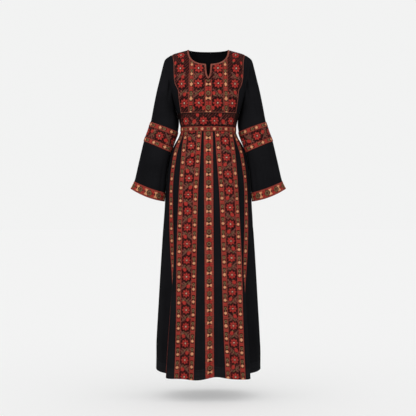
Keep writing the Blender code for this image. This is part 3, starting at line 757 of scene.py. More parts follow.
# Meshes
def add_mesh(name, verts, faces, look):
    mesh = bpy.data.meshes.new(name)
    mesh.from_pydata(verts.tolist(), [], faces)
    mesh.shade_smooth()
    mesh.materials.append(look)
    item = bpy.data.objects.new(name, mesh)
    dress.objects.link(item)
    return item


def paint_uv(mesh, name, places):
    """A UV map from a place for each vertex."""
    corner_verts = np.empty(len(mesh.loops), dtype=np.int32)
    mesh.loops.foreach_get("vertex_index", corner_verts)
    layer = mesh.uv_layers.new(name=name)
    layer.uv.foreach_set("vector", places[corner_verts].astype(np.float32).ravel())


def cloth_lengths(points):
    """Distances down and across a grid of points, from its first row and middle column."""
    down = np.linalg.norm(np.diff(points, axis=0), axis=-1)
    across = np.linalg.norm(np.diff(points, axis=1), axis=-1)
    down = np.concatenate([np.zeros((1, points.shape[1])), np.cumsum(down, axis=0)])
    across = np.concatenate([np.zeros((points.shape[0], 1)), np.cumsum(across, axis=1)], axis=1)
    return across, down


def cloth_sheet(name, points, look, outward, hem=None, closed=False):
    """Plain cloth of one thickness, lofted through a grid of points on its outer face."""
    rows, columns = points.shape[:2]
    across, down = cloth_lengths(points)
    index = np.arange(rows * columns).reshape(rows, columns)
    a, b, c, d = index[:-1, :-1], index[:-1, 1:], index[1:, 1:], index[1:, :-1]
    quads = (a, b, c, d) if outward > 0 else (a, d, c, b)
    faces = np.stack(quads, axis=-1).reshape(-1, 4).tolist()
    item = add_mesh(name, points.reshape(-1, 3), faces, look)
    paint_uv(item.data, "cloth", np.stack([across, down], axis=-1).reshape(-1, 2))
    # hem is the mask of the turned hem, which the black crepe shows as painted sheen
    hem = np.zeros(rows * columns) if hem is None else hem.ravel()
    item.data.attributes.new("hem", "FLOAT", "POINT").data.foreach_set("value", hem.astype(np.float32))
    if closed:
        weld = item.modifiers.new("seam", "WELD")
        weld.merge_threshold = 0.00001
    solid = item.modifiers.new("cloth", "SOLIDIFY")
    solid.thickness = WALL
    solid.offset = -1.0
    solid.use_rim = True
    return item


def stitched_sheet(name, points, normals, colours, look, lift, keep=None):
    """Cross-stitched cloth: each cell of the grid is one stitch, a low pillow of four faces."""
    rows, columns = points.shape[0] - 1, points.shape[1] - 1
    keep = np.ones((rows, columns), bool) if keep is None else keep
    top = points + lift * normals
    centres = (top[:-1, :-1] + top[:-1, 1:] + top[1:, 1:] + top[1:, :-1]) / 4
    centre_normals = unit(normals[:-1, :-1] + normals[1:, 1:] + normals[:-1, 1:] + normals[1:, :-1])
    centres = centres + STITCH_RISE * centre_normals
    low = points + SEAM * normals
    verts = np.concatenate([top.reshape(-1, 3), centres.reshape(-1, 3), low.reshape(-1, 3)])
    index = np.arange((rows + 1) * (columns + 1)).reshape(rows + 1, columns + 1)
    middle = index.size + np.arange(rows * columns).reshape(rows, columns)
    under = index + index.size + middle.size
    corners = (index[:-1, :-1], index[1:, :-1], index[1:, 1:], index[:-1, 1:])
    around = np.pad(keep, 1)
    beside = (around[1:-1, :-2], around[2:, 1:-1], around[1:-1, 2:], around[:-2, 1:-1])
    faces, paint = [], []
    for side in range(4):
        first, second = corners[side], corners[(side + 1) % 4]
        faces += np.stack([first, second, middle], axis=-1)[keep].tolist()
        paint.append(np.repeat(colours[keep], 3))
        edge = keep & ~beside[side]
        drop = under.reshape(-1)
        rim = np.stack([second, first, drop[first], drop[second]], axis=-1)[edge]
        faces += rim.tolist()
        paint.append(np.repeat(colours[edge], 4))
    used = np.zeros(len(verts), bool)
    used[[vert for face in faces for vert in face]] = True
    renumber = np.cumsum(used) - 1
    faces = [[int(renumber[v]) for v in face] for face in faces]
    item = add_mesh(name, verts[used], faces, look)
    corner_rows, corner_columns = np.indices((rows + 1, columns + 1))
    corner_uv = np.stack([corner_columns, corner_rows], axis=-1).reshape(-1, 2).astype(float)
    middle_rows, middle_columns = np.indices((rows, columns)) + 0.5
    middle_uv = np.stack([middle_columns, middle_rows], axis=-1).reshape(-1, 2)
    paint_uv(item.data, "cells", np.concatenate([corner_uv, middle_uv, corner_uv])[used])
    thread = item.data.color_attributes.new("thread", "FLOAT_COLOR", "CORNER")
    tones = THREADS[np.concatenate(paint)]
    thread.data.foreach_set("color", np.concatenate([tones, np.ones((len(tones), 1))], axis=1)
                            .astype(np.float32).ravel())
    row, column = np.argwhere(keep)[0]
    if np.dot(item.data.polygons[0].normal, centre_normals[row, column]) < 0:
        item.data.flip_normals()
    return item


def band_along(name, path, aside, out, profile, look, closed=True):
    """A folded strip along a path; the profile gives places aside of the path and out from the cloth."""
    grid = np.array([path + d * aside + n * out for d, n in profile])
    count = len(path)
    index = np.arange(len(profile) * count).reshape(len(profile), count)
    after = np.roll(index, -1, axis=1)
    last = count if closed else count - 1
    quads = np.stack([index[:-1, :last], after[:-1, :last], after[1:, :last], index[1:, :last]], axis=-1)
    item = add_mesh(name, grid.reshape(-1, 3), quads.reshape(-1, 4).tolist(), look)
    along = walked_along(path) / RIB
    across = walked_along(np.array(profile)) / RIB
    places = np.stack(np.meshgrid(across, along, indexing="ij"), axis=-1).reshape(-1, 2)
    paint_uv(item.data, "cells", places)
    paint_uv(item.data, "cloth", places * RIB)
    return item


def round_profile(radius, sides):
    turns = [2 * math.pi * k / sides for k in range(sides + 1)]
    return [(radius * math.sin(turn), radius * math.cos(turn)) for turn in turns]


def running_stitches(name, path, out, look):
    """Short raised threads along a path of the cloth, with gaps between them."""
    along = walked_along(path)
    count = int(along[-1] / (SEWN + SEWN_GAP))
    verts, faces = [], []
    for k in range(count):
        spots = k * (SEWN + SEWN_GAP) + SEWN * np.array((0.0, 0.25, 0.75, 1.0))
        places = np.stack([np.interp(spots, along, path[:, i]) for i in range(3)], axis=-1)
        outs = unit(np.stack([np.interp(spots, along, out[:, i]) for i in range(3)], axis=-1))
        forward = unit(places[-1] - places[0])
        for place, normal, lift in zip(places, outs, (-0.3, 0.7, 0.7, -0.3)):
            sideways = np.cross(forward, normal)
            for turn in range(5):
                swing = 2 * math.pi * turn / 5
                verts.append(place + SEWN_RADIUS * (math.cos(swing) * sideways
                                                    + (math.sin(swing) + lift) * normal))
        first = 20 * k
        for ring in range(3):
            for turn in range(5):
                a, b = first + 5 * ring + turn, first + 5 * ring + (turn + 1) % 5
                faces.append((a, b, b + 5, a + 5))
        faces.append(tuple(first + turn for turn in range(4, -1, -1)))
        faces.append(tuple(first + 15 + turn for turn in range(5)))
    return add_mesh(name, np.array(verts), faces, look)


# Stitch charts: u runs across the motif, v down it, both from its middle
def oval(u, v, place, half_width, half_height, lean=0.0):
    """Distance field of a leaning oval, under 1 inside it."""
    turn = math.radians(lean)
    du, dv = u - place[0], v - place[1]
    across = du * math.cos(turn) + dv * math.sin(turn)
    along = -du * math.sin(turn) + dv * math.cos(turn)
    return np.hypot(across / half_width, along / half_height)


def draw_rosette(art, u, v, radius):
    """Eight round petals round a pale eye, on dark cloth."""
    reach = np.hypot(u, v) / radius
    away = (np.arctan2(v, u) + PETAL_TURN / 2) % PETAL_TURN - PETAL_TURN / 2
    petal = np.hypot(reach * np.sin(away) / 0.23, (reach * np.cos(away) - 0.63) / 0.37)
    art[reach < 1.10] = BLACK
    art[petal < 1.0] = DEEP_RED
    art[petal < 0.80] = BRIGHT_RED
    art[reach < 0.30] = RUST
    art[reach < 0.22] = BLACK
    art[reach < 0.14] = PALE


def draw_bud(art, u, v, place, lean, size=1.0):
    """A round bud on an olive cup."""
    body = oval(u, v, place, 0.0074 * size, 0.0092 * size, lean)
    turn = math.radians(lean)
    foot = (place[0] - 0.0090 * size * math.sin(turn), place[1] + 0.0090 * size * math.cos(turn))
    art[body < 1.25] = BLACK
    art[oval(u, v, foot, 0.0042 * size, 0.0034 * size, lean) < 1.0] = OLIVE
    art[body < 1.0] = BRIGHT_RED


def draw_stem(art, u, v, start, end, half=0.0013, colour=STEM):
    du, dv = end[0] - start[0], end[1] - start[1]
    length = math.hypot(du, dv)
    along = ((u - start[0]) * du + (v - start[1]) * dv) / length
    aside = np.abs((u - start[0]) * dv - (v - start[1]) * du) / length
    art[(aside < half) & (along > 0) & (along < length)] = colour


def draw_leaf(art, u, v, place, lean, size=1.0):
    art[oval(u, v, place, 0.0032 * size, 0.0070 * size, lean) < 1.0] = STEM
    art[oval(u, v, place, 0.0012 * size, 0.0055 * size, lean) < 1.0] = RUST


def field_of_thread(u, v):
    """Filling between the motifs: dark cloth crossed by slanting rows of small leaves."""
    column, row = np.round(u / STITCH).astype(int), np.round(v / STITCH).astype(int)
    art = np.full(u.shape, GROUND)
    art[(column + row) % 6 < 2] = DEEP_RED
    art[((column + row) % 6 == 0) & ((column - row) % 4 < 2)] = STEM
    art[(column - 2 * row) % 7 < 2] = GROUND
    return art


def draw_between(art, u, v, lean_side):
    """A bud, leaves and slanting stems in the middle between two rosettes."""
    draw_stem(art, u, v, (-0.021, -0.016 * lean_side), (0.021, 0.016 * lean_side), 0.0022)
    draw_stem(art, u, v, (-0.016, -0.006 * lean_side), (0.010, 0.0155 * lean_side), 0.0012, OLIVE)
    draw_leaf(art, u, v, (-0.0165, 0.004 * lean_side), 50 * lean_side)
    draw_leaf(art, u, v, (-0.0085, 0.010 * lean_side), 50 * lean_side)
    draw_leaf(art, u, v, (0.0165, 0.005 * lean_side), 50 * lean_side)
    draw_bud(art, u, v, (0.0085, -0.0045 * lean_side), 152 * lean_side)


def floral_chart(u, v, repeat, offset, lean_side):
    """A column of rosettes with buds between them, for a strip 44 mm wide."""
    art = field_of_thread(u, v)
    near = (v - offset + repeat / 2) % repeat - repeat / 2
    halfway = (v - offset) % repeat - repeat / 2
    flip = np.where(np.floor((v - offset) / repeat) % 2 == 0, 1, -1)
    draw_between(art, u * flip, halfway, lean_side)
    draw_rosette(art, u, near, STRIP_ROSETTE)
    return art


def dotted_edges(art, along, edge):
    """Red and rust stitches by turns along a ribbon's edges."""
    art[edge] = RUST
    art[edge & (np.round(along / STITCH).astype(int) % 3 == 0)] = BRIGHT_RED


def trim_chart(along, across, repeat, order=("peach", "red", "olive"), outline=BLACK):
    """Ribbon of peach lozenges, red squares and olive blocks in turn, between dotted edges."""
    art = np.full(along.shape, DEEP_RED)
    inside = np.abs(across) < TRIM_INNER
    for k, kind in enumerate(order):
        away = np.abs((along - k * repeat / len(order) + repeat / 2) % repeat - repeat / 2)
        art[inside & (away < 0.0082)] = outline
        if kind == "peach":
            art[(away / 0.0078 + np.abs(across) / (TRIM_INNER * 1.3)) < 1.0] = PEACH
        elif kind == "red":
            art[inside & (away < 0.0064)] = BRIGHT_RED
            art[inside & (away < 0.0012)] = RUST
        else:
            art[np.hypot(away / 0.0070, across / TRIM_INNER) < 1.0] = OLIVE
            art[np.hypot(away / 0.0026, across / (TRIM_INNER * 0.4)) < 1.0] = BLACK
    dotted_edges(art, along, ~inside)
    return art


def medallion_chart(along, across, inner, repeat):
    """Olive medallions, peach bow-ties and red double squares in turn, between dotted edges."""
    art = np.full(along.shape, DEEP_RED)
    wings = np.abs(across) < inner

    def away_from(share):
        return np.abs((along - share * repeat + repeat / 2) % repeat - repeat / 2)

    bow = away_from(0.355)
    art[wings & (bow < 0.0076)] = BLACK
    art[wings & (bow < np.minimum(0.0012 + 0.70 * np.abs(across), 0.0066))] = PEACH
    square = away_from(0.69)
    art[wings & (square < 0.0086)] = BLACK
    art[wings & (square < 0.0076)] = BRIGHT_RED
    art[(square < 0.0011) | (wings & (np.abs(across) < 0.0011) & (square < 0.0076))] = DEEP_RED
    reach = np.hypot(away_from(0.0), across) / min(inner, 0.0095)
    art[reach < 1.12] = BLACK
    art[reach < 0.98] = OLIVE
    art[reach < 0.50] = BLACK
    art[reach < 0.26] = RUST
    dotted_edges(art, along, ~wings)
    return art


# Placing and naming the pieces
def sewn(item, nodes):
    """The piece rides on the dress and stands for its nodes, which are hidden."""
    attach(item, "root")
    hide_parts(*nodes)


def detail(item, slot):
    """Sewing on the dress that stands for no node."""
    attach(item, "root")


def arc_spots(points, count):
    """Shares of a line's index at equal steps of its length."""
    lengths = walked_along(points)
    return np.interp(np.linspace(0, lengths[-1], count + 1), lengths, np.linspace(0, 1, len(lengths)))


def chart_places(points):
    """Cloth places of each cell's middle: across from the middle column, and down."""
    across, down = cloth_lengths(points)
    across = across - across[:, across.shape[1] // 2][:, None]
    return cell_middles(across), cell_middles(down)


def make_bodice():
    places = refined(bodice_places(front_columns()), FINE)
    front = bodice_points(places[..., 0], places[..., 1], "front")
    item = cloth_sheet("bodice_front_cloth", front, LOOKS["black"], -1)
    sewn(item, ["bodice_front"])
    places = refined(bodice_places(back_columns(), (BELT_TOP_Z, WAIST_Z)), FINE)
    back = bodice_points(places[..., 0], places[..., 1], "back")
    item = cloth_sheet("bodice_back_cloth", back, LOOKS["black"], 1)
    sewn(item, ["bodice_back"])
    return front, back


WaistPiece = namedtuple("WaistPiece", "node top lift slot look cut")
WAIST_PIECES = (
    WaistPiece("midriff_band", CHEST_BOTTOM_Z, MIDRIFF_LIFT, "embroidery", "stitched", (0.345, 0.081, None)),
    WaistPiece("belt_ribbon", BELT_TOP_Z, BELT_LIFT, "trim_cloth", "ribbon", (0.33, 0.021, None)),
)


def make_midriff():
    """Embroidered band in front between the chest seam and the waist, with the belt ribbon on it."""
    for piece in WAIST_PIECES:
        rows = round((piece.top - WAIST_Z) / STITCH)
        heights = np.linspace(piece.top - SEAM, WAIST_Z + SEAM, rows + 1)
        half = level(BODY, "half_width", heights)
        turn = np.linspace(-math.pi / 2, math.pi / 2, 721)
        line = np.sign(np.sin(turn)) * np.abs(np.sin(turn)) ** (2 / BODY_POWER)
        rim = bodice_points(half[rows // 2] * line * 0.9995, np.full(721, heights[rows // 2]), "front")
        columns = round(np.linalg.norm(np.diff(rim, axis=0), axis=1).sum() / STITCH / 2) * 2
        shares = np.interp(arc_spots(rim, columns), np.linspace(0, 1, 721), line) * 0.9995
        x = shares[None, :] * half[:, None]
        points = bodice_points(x, heights[:, None] + 0 * x, "front")
        normals = bodice_normals(points, "front")
        across, down = chart_places(points)
        if piece.node == "belt_ribbon":
            art = trim_chart(across + 1.5 * BELT_REPEAT, down - down[-1].max() / 2, BELT_REPEAT,
                             BELT_ORDER, RUST)
        else:
            art = midriff_chart(across, down)
            middle_x, middle_z = cell_middles(points[..., 0]), cell_middles(points[..., 2])
            edge = np.interp(-middle_z, (-CHEST_BOTTOM_Z, -BELT_TOP_Z), MIDRIFF_HALF)
            art[np.abs(middle_x) > edge] = BLACK
        item = stitched_sheet(piece.node + "_stitched", points, normals, art, LOOKS[piece.look], piece.lift)
        sewn(item, [piece.node])


def midriff_chart(across, down):
    """Four rosettes with buds between them, dark lines under the chest seam and above the belt."""
    art = field_of_thread(across, down)
    v = down - MIDRIFF_ROW
    for place in MIDRIFF_FLOWERS:
        draw_rosette(art, across - place, v, MIDRIFF_ROSETTE)
    for place, lean in MIDRIFF_BUDS:
        draw_stem(art, across - place, v, (-0.017, 0.016), (0.017, -0.016), 0.0015)
        draw_bud(art, across - place, v, (0.0, 0.004), lean, 1.15)
        draw_leaf(art, across - place, v, (-0.012, -0.010), -lean, 1.1)
        draw_leaf(art, across - place, v, (0.013, 0.010), -lean, 1.1)
    for place in (-0.047, 0.052):
        draw_bud(art, across - place, down - 0.010, (0.0, 0.0), 180, 1.0)
    art[(down < 0.0046) | (np.abs(down - 0.0590) < 0.0023)] = BLACK
    return art


def chest_rows():
    """Heights of the chest's stitch rows: close together over the shoulder, then even."""
    radius = SHOULDER_ROUND["front"]
    bend = radius * math.pi / 2
    total = bend - CHEST_BOTTOM_Z - radius
    walked = np.linspace(CHEST_START, total, round((total - CHEST_START) / STITCH) + 1)
    over = -radius * (1 - np.cos(np.minimum(walked, bend) / radius))
    return over - np.maximum(walked - bend, 0), walked


def make_chest():
    """The embroidered panel, with the neck, the slit and the space outside its edges left open."""
    heights, walked = chest_rows()
    line = np.linspace(-CHEST_REACH, CHEST_REACH, 801)
    lengths = walked_along(bodice_points(line, np.full(801, -0.18), "front"))
    lengths -= lengths[400]
    half_count = int(lengths[-1] / STITCH)
    columns = np.interp(np.arange(-half_count, half_count + 1) * STITCH, lengths, line)
    x, z = np.meshgrid(columns, heights)
    edge = chest_edge(z)
    inner = np.minimum(np.abs(x[:, :-1]), np.abs(x[:, 1:]))
    keep = inner[1:] < middles(edge, 0)[:, 1:]
    keep &= z[1:, 1:] < shoulder_height(middles(x, 1)[1:], "front") - 0.0008
    middle_x, middle_z = cell_middles(x), cell_middles(z)
    opening = (np.abs(middle_x) < NECK_HALF) & (middle_z > front_neck_height(middle_x))
    opening |= (np.abs(middle_x) < slit_half(middle_z)) & (middle_z > SLIT_END_Z)
    keep &= ~opening
    x = np.clip(x, -edge, edge)
    z = np.minimum(z, shoulder_height(x, "front") - 0.0006)
    points = bodice_points(x, z, "front")
    normals = bodice_normals(points, "front")
    across = np.interp(middle_x, line, lengths)
    down = np.interp(-middle_z, -heights, walked)

    def from_place(side, x, z):
        """Cloth places of the cells, counted from a front-view place on one side."""
        return across - side * np.interp(x, line, lengths), down - np.interp(-z, -heights, walked)

    art = field_of_thread(across, down)
    for side in (-1, 1):
        for pair in CHEST_PAIRS:
            upper, lower = (CHEST_ROSETTES[number] for number in pair)
            u, v = from_place(side, (upper.x + lower.x) / 2, (upper.z + lower.z) / 2)
            draw_between(art, u, v, side)
        for motif in CHEST_ROSETTES:
            draw_rosette(art, *from_place(side, motif.x, motif.z), CHEST_ROSETTE)
        for bud in CHEST_BUDS:
            draw_bud(art, *from_place(side, bud.x, bud.z), (0, 0), bud.lean * side, 0.9)
    ribbon = np.interp(middle_z, (CHEST_BOTTOM_Z, -0.06), (0.0765, 0.0712))
    art[(np.abs(np.abs(middle_x) - ribbon) < 0.0112) & (middle_z < -0.012)] = RUST
    art[(np.abs(np.abs(middle_x) - ribbon) < 0.0078) & (middle_z < -0.012)] = DEEP_RED
    item = stitched_sheet("chest_panel_stitched", points, normals, art, LOOKS["stitched"], PANEL_LIFT, keep)
    sewn(item, ["chest_panel"])


ChestRibbon = namedtuple("ChestRibbon", "node left_top right_top left_low right_low top cells cut")
CHEST_RIBBONS = (
    ChestRibbon("chest_centre_ribbon", -0.0152, 0.0152, -0.0152, 0.0152, -0.1405, 14, (0.0304, 0.145, None)),
    ChestRibbon("chest_flank_ribbon_left", -0.0770, -0.0655, -0.0840, -0.0690, FLANK_TOP_Z, 7,
                (0.0152, 0.235, None)),
    ChestRibbon("chest_flank_ribbon_right", 0.0655, 0.0770, 0.0690, 0.0840, FLANK_TOP_Z, 7,
                (0.0152, 0.235, None)),
)


def make_chest_ribbons():
    for ribbon in CHEST_RIBBONS:
        drop = ribbon.top - CHEST_BOTTOM_Z
        heights = np.linspace(ribbon.top, CHEST_BOTTOM_Z + SEAM, round(drop / STITCH) + 1)
        share = ((ribbon.top - heights) / drop)[:, None]
        spots = np.linspace(0, 1, ribbon.cells + 1)[None, :]
        left = ribbon.left_top + share * (ribbon.left_low - ribbon.left_top)
        right = ribbon.right_top + share * (ribbon.right_low - ribbon.right_top)
        x = left * (1 - spots) + right * spots
        z = heights[:, None] + 0 * x
        points = bodice_points(x, z, "front")
        across, down = chart_places(points)
        if ribbon.node == "chest_centre_ribbon":
            art = medallion_chart(down, across, CHEST_CENTRE_INNER, CHEST_CENTRE_REPEAT)
        else:
            turns = np.interp(-cell_middles(z), FLANK_HEIGHTS, FLANK_TURNS)
            art = trim_chart(turns * FLANK_REPEAT, across, FLANK_REPEAT)
        item = stitched_sheet(ribbon.node + "_stitched", points, bodice_normals(points, "front"), art,
                              LOOKS["ribbon"], RIBBON_LIFT)
        sewn(item, [ribbon.node])


def neck_path():
    """Points, outward normals and ways away from the opening, once round the slit and the neck."""
    slit_z = np.linspace(SLIT_END_Z, -0.0790, 22)
    start = math.asin((0.0112 / NECK_HALF) ** (NECK_POWER / 2))
    turns = np.linspace(start, math.pi / 2, 60)[:-1]
    curve_x = NECK_HALF * np.sin(turns) ** (2 / NECK_POWER)
    front_x = np.concatenate([slit_half(slit_z), curve_x])
    front_z = np.concatenate([slit_z, front_neck_height(curve_x)])
    back_x = NECK_HALF * np.cos(np.linspace(0, math.pi / 2, 40))
    parts = [(bodice_points(front_x, front_z, "front"), "front"),
             (bodice_points(back_x, back_neck_height(back_x), "back"), "back")]
    points = np.concatenate([part for part, _ in parts])
    normals = np.concatenate([bodice_normals(part, side) for part, side in parts])
    points = np.concatenate([points, points[-2:0:-1] * (-1, 1, 1)])
    normals = np.concatenate([normals, normals[-2:0:-1] * (-1, 1, 1)])
    for _ in range(2):
        normals = unit(normals + np.roll(normals, 1, axis=0) + np.roll(normals, -1, axis=0))
    ahead = unit(np.roll(points, -1, axis=0) - np.roll(points, 1, axis=0))
    return points, normals, unit(np.cross(ahead, normals))


def make_neck():
    """A rust binding round the slit and the front neck, a black one round the back neck."""
    points, normals, aside = neck_path()
    first = int(np.flatnonzero(points[:, 1] > WALL)[0])
    count = int((points[:, 1] > WALL).sum())
    turned = [np.roll(values, -first, axis=0) for values in (points, normals, aside)]
    back = [values[:count] for values in turned]
    front = [np.concatenate([values[count - 1:], values[:1]]) for values in turned]
    item = band_along("neck_binding_folded", front[0], front[2], front[1], BINDING_PROFILE,
                      LOOKS["braid"], closed=False)
    sewn(item, ["neck_binding_front"])
    item = band_along("back_neck_binding_folded", back[0], back[2], back[1], BINDING_PROFILE,
                      LOOKS["black"], closed=False)
    sewn(item, ["neck_binding_back"])


def make_chest_piping():
    """Narrow braid along the outer edges of the chest panel and along the chest seam."""
    profile = [(d - 0.0011, n + PANEL_LIFT + 0.0002) for d, n in round_profile(0.0012, 8)]
    heights = np.linspace(-0.0235, CHEST_BOTTOM_Z, 90)
    edge = chest_edge(heights)
    places = [("chest_edge_braid_left", -edge, heights), ("chest_edge_braid_right", edge, heights)]
    seam_x = CHEST_SEAM_HALF * np.sin(np.linspace(-math.pi / 2, math.pi / 2, 121))
    places.append(("chest_seam_braid", seam_x, np.full(121, CHEST_BOTTOM_Z)))
    for name, x, z in places:
        points = bodice_points(x, z, "front")
        normals = bodice_normals(points, "front")
        aside = unit(np.cross(unit(np.gradient(points, axis=0)), normals))
        item = band_along(name, points, aside, normals, profile, LOOKS["braid"], closed=False)
        detail(item, "binding_cloth")


def make_skirt():
    heights = np.linspace(WAIST_Z, HEM_Z, SKIRT_ROWS + 1)
    for name, node, first, last, cut in (
            ("skirt_front_cloth", "skirt_front", -90, 90, (0.80, 1.07, 0.645)),
            ("skirt_back_cloth", "skirt_back", 90, 270, (0.72, 1.07, 0.605))):
        angle = np.linspace(first, last, SKIRT_COLUMNS + 1)[None, :] + 0 * heights[:, None]
        z = heights[:, None] + 0 * angle
        points = skirt_points(angle, z)
        # The turned hem, where the cloth gets its painted sheen of lighter grey
        hem = np.clip((HEM_Z + HEM_TURN - z) / 0.006, 0, 1)
        item = cloth_sheet(name, points, LOOKS["black"], -1, hem)
        sewn(item, [node])


StripPiece = namedtuple("StripPiece", "word band node lift slot look cells")


def strip_pieces():
    pieces = [StripPiece("", "centre", "centre_strip", PANEL_LIFT, "trim_cloth", "ribbon", 18)]
    for word in ("left", "right"):
        pieces += [
            StripPiece(word, "wide", "wide_strip_" + word, PANEL_LIFT, "embroidery", "stitched", 39),
            StripPiece(word, "inner", "strip_ribbon_inner_" + word, RIBBON_LIFT, "trim_cloth", "ribbon", 10),
            StripPiece(word, "outer", "strip_ribbon_outer_" + word, RIBBON_LIFT, "trim_cloth", "ribbon", 10),
            StripPiece(word, "side", "side_ribbon_" + word, PANEL_LIFT, "trim_cloth", "ribbon", 10),
        ]
    return pieces


def make_strips():
    """Stitched strips and ribbons that run down the skirt from the waist to the hem."""
    top = WAIST_Z - WAIST_TURN
    rows = round((top - HEM_Z) / STITCH)
    heights = np.linspace(top, HEM_Z + 0.0004, rows + 1)
    edges = strip_edges((heights - WAIST_Z) / (HEM_Z - WAIST_Z))
    for piece in strip_pieces():
        side = -1 if piece.word == "left" else 1
        first, last = (side * edge for edge in edges[piece.band])
        if side < 0:
            first, last = last, first
        spots = np.linspace(0, 1, piece.cells + 1)[None, :]
        distances = first[:, None] * (1 - spots) + last[:, None] * spots
        angle = skirt_angles(heights, distances)
        z = heights[:, None] + 0 * angle
        points = skirt_points(angle, z)
        width = float(abs(last[0] - first[0]))
        across = (np.linspace(-0.5, 0.5, piece.cells + 1)[1:] - 0.5 / piece.cells) * width
        down = middles(top - heights, 0)
        u, v = np.meshgrid(across, down)
        item = stitched_sheet(piece.node + "_stitched", points, skirt_normals(angle, z),
                              strip_chart(piece, u, v), LOOKS[piece.look], piece.lift)
        sewn(item, [piece.node])


def strip_chart(piece, u, v):
    if piece.band == "centre":
        return medallion_chart(v - CENTRE_START, u, CENTRE_INNER, CENTRE_REPEAT)
    if piece.band == "wide":
        side = -1 if piece.word == "left" else 1
        return floral_chart(u, v, WIDE_REPEATS[piece.word], WIDE_STARTS[piece.word], side)
    if piece.band == "side":
        return trim_chart(v - SIDE_STARTS[piece.word], u, SIDE_REPEAT)
    return trim_chart(v - TRIM_STARTS[piece.band + " " + piece.word], u, TRIM_REPEAT)


def mirror(points, side):
    return points * (side, 1, 1)


def sleeve_loop(front, back):
    """Armhole edge of the fine bodice, with each point's turn round the sleeve."""
    last = (ARMHOLE_ROWS - 1) * FINE
    loop = np.concatenate([front[:last + 1, -1], back[last - 1:0:-1, -1]])
    ring = SLEEVE[0]
    middle_z, half_z = (ring.outer_z + ring.inner_z) / 2, (ring.outer_z - ring.inner_z) / 2
    turn = np.arccos(np.clip((loop[:, 2] - middle_z) / half_z, -1, 1))
    turn[last + 1:] *= -1
    return loop, turn


def make_sleeves(front, back):
    loop, turn = sleeve_loop(front, back)
    rings = np.linspace(0, len(SLEEVE) - 1, (len(SLEEVE) - 1) * 9 + 1)
    ring, turns = np.meshgrid(rings, np.append(turn, turn[0]), indexing="ij")
    points = sleeve_points(ring, turns, np.concatenate([loop, loop[:1]])[None, :, :])
    for side, word in ((-1, "left"), (1, "right")):
        item = cloth_sheet("sleeve_cloth_" + word, mirror(points, side), LOOKS["black"], side, closed=True)
        sewn(item, ["sleeve_" + word])
        make_sleeve_bands(side, word)


SleeveBand = namedtuple("SleeveBand", "node first last lift slot look depth")
SLEEVE_BANDS = (
    SleeveBand("sleeve_band_", BAND_TOP_RING, BAND_BOTTOM_RING, PANEL_LIFT, "embroidery", "stitched", 0.088),
    SleeveBand("band_top_ribbon_", BAND_TOP_RING, BAND_TOP_RING + 1, RIBBON_LIFT, "trim_cloth", "ribbon",
               0.020),
    SleeveBand("band_low_ribbon_", BAND_BOTTOM_RING - 1, BAND_BOTTOM_RING, RIBBON_LIFT, "trim_cloth",
               "ribbon", 0.020),
    SleeveBand("cuff_ribbon_", CUFF_TOP_RING, len(SLEEVE) - 1, PANEL_LIFT, "trim_cloth", "ribbon", CUFF),
)


def make_sleeve_bands(side, word):
    """Stitched bands that run round the sleeve: a floral band between two ribbons, and the cuff."""
    for band in SLEEVE_BANDS:
        fine_ring = np.linspace(band.first, band.last, 61)
        line = sleeve_points(fine_ring, np.zeros(61))
        rows = round(band.depth / STITCH)
        ring = np.interp(arc_spots(line, rows), np.linspace(0, 1, 61), fine_ring)
        turn = np.linspace(math.pi, -math.pi, 721)
        rim = sleeve_points(np.full(721, (band.first + band.last) / 2), turn)
        girth = np.linalg.norm(np.diff(rim, axis=0), axis=1).sum()
        columns = round(girth / STITCH)
        turn = np.interp(arc_spots(rim, columns), np.linspace(0, 1, 721), turn)
        ring, turns = np.meshgrid(ring, turn, indexing="ij")
        points = sleeve_points(ring, turns)
        normals = sleeve_normals(ring, turns, points)
        across = (np.arange(columns) + 0.5) / columns * girth
        u, v = np.meshgrid(across, (np.arange(rows) + 0.5) / rows * band.depth - band.depth / 2)
        item = stitched_sheet(band.node + word + "_stitched", mirror(points, side), mirror(normals, side),
                              band_chart(band.node, u, v, girth, side), LOOKS[band.look], band.lift)
        sewn(item, [band.node + word])


def sleeve_normals(ring, turn, points):
    along = sleeve_points(ring + 0.01, turn) - sleeve_points(ring - 0.01, turn)
    around = sleeve_points(ring, turn + 0.01) - sleeve_points(ring, turn - 0.01)
    normals = unit(np.cross(along, around))
    facing = np.sign(np.sum(normals * (points - sleeve_centre(ring)), axis=-1))
    return normals * facing[..., None]


def band_chart(node, u, v, girth, side):
    """Charts round the sleeve, with a whole number of repeats in its girth."""
    if node == "sleeve_band_":
        return floral_chart(v, u, girth / round(girth / BAND_REPEAT), BAND_START, side)
    if node == "cuff_ribbon_":
        return medallion_chart(u, v, CUFF_INNER, girth / round(girth / CUFF_REPEAT))
    return trim_chart(u, v, girth / round(girth / TRIM_REPEAT))


def make_seam_stitches():
    """Hand stitches of the hem turn, of the back neck's turning and of the sleeve hems."""
    angle = np.linspace(-180, 180, 1441)
    z = np.full(1441, HEM_Z + HEM_TURN)
    item = running_stitches("hem_stitches", skirt_points(angle, z), skirt_normals(angle, z), LOOKS["thread"])
    detail(item, "black_cloth")
    x = np.linspace(-NECK_HALF + 0.006, NECK_HALF - 0.006, 121)
    points = bodice_points(x, back_neck_height(x) - 0.008, "back")
    normals = bodice_normals(points, "back")
    inside = points - (WALL + 0.0002) * normals
    item = running_stitches("back_neck_stitches", inside, -normals, LOOKS["thread"])
    detail(item, "black_cloth")
    turn = np.linspace(-math.pi, math.pi, 361)
    ring = np.full(361, len(SLEEVE) - 1.06)
    points = sleeve_points(ring, turn)
    normals = sleeve_normals(ring, turn, points)
    for side, word in ((-1, "left"), (1, "right")):
        item = running_stitches("cuff_stitches_" + word, mirror(points + PANEL_LIFT * normals, side),
                                mirror(normals, side), LOOKS["thread"])
        detail(item, "black_cloth")


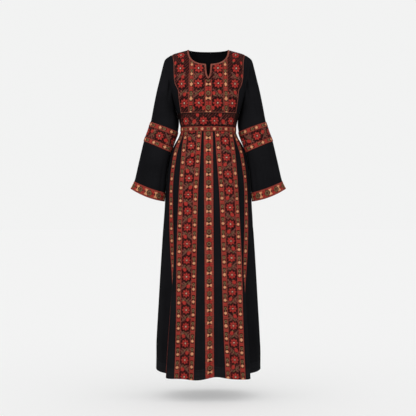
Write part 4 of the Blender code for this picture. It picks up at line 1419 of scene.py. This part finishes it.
# The studio
def add_camera():
    data = bpy.data.cameras.new("camera")
    data.sensor_width = SENSOR
    data.sensor_fit = "HORIZONTAL"
    data.lens = SENSOR * DISTANCE / (IMAGE * PIXEL)
    data.clip_end = 60
    camera = bpy.data.objects.new("camera", data)
    bpy.context.scene.collection.objects.link(camera)
    camera.location = ((IMAGE / 2 - MIDDLE_COLUMN) * PIXEL, -DISTANCE, -(IMAGE / 2 - NECK_ROW) * PIXEL)
    camera.rotation_euler = (math.pi / 2, 0, 0)
    bpy.context.scene.camera = camera


def add_studio():
    """White floor and even white surroundings, which leave only the dress's own soft shadow."""
    mesh = bpy.data.meshes.new("floor")
    corners = [(FLOOR_HALF * x, FLOOR_HALF * y, FLOOR_Z) for x, y in ((-1, -1), (1, -1), (1, 1), (-1, 1))]
    mesh.from_pydata(corners, [], [(0, 1, 2, 3)])
    mesh.materials.append(LOOKS["studio"])
    floor = bpy.data.objects.new("floor", mesh)
    bpy.context.scene.collection.objects.link(floor)
    world = bpy.data.worlds.new("studio")
    world.use_nodes = True
    background = world.node_tree.nodes["Background"]
    background.inputs["Color"].default_value = (BACKDROP, BACKDROP * 1.004, BACKDROP, 1)
    bpy.context.scene.world = world
    bpy.context.scene.view_settings.view_transform = "Standard"
    for lamp in LAMPS:
        data = bpy.data.lights.new(lamp.name, "AREA")
        data.size = lamp.size
        data.energy = lamp.power
        light = bpy.data.objects.new(lamp.name, data)
        bpy.context.scene.collection.objects.link(light)
        light.location = lamp.place
        aim = Vector(LAMP_AIM) - Vector(lamp.place)
        light.rotation_euler = aim.to_track_quat("-Z", "Y").to_euler()
        light.light_linking.receiver_collection = dress


add_camera()
dress = bpy.data.collections.new("dress_pieces")
bpy.context.scene.collection.children.link(dress)
LOOKS = {"black": black_cloth_look(), "stitched": stitched_look("cross_stitch", 0.05),
         "ribbon": stitched_look("ribbon_stitch", 0.12), "braid": braid_look(), "thread": thread_look(),
         "studio": studio_look()}
front_cloth, back_cloth = make_bodice()
make_chest()
make_chest_ribbons()
make_chest_piping()
make_midriff()
make_neck()
make_skirt()
make_strips()
make_sleeves(front_cloth, back_cloth)
make_seam_stitches()
add_studio()
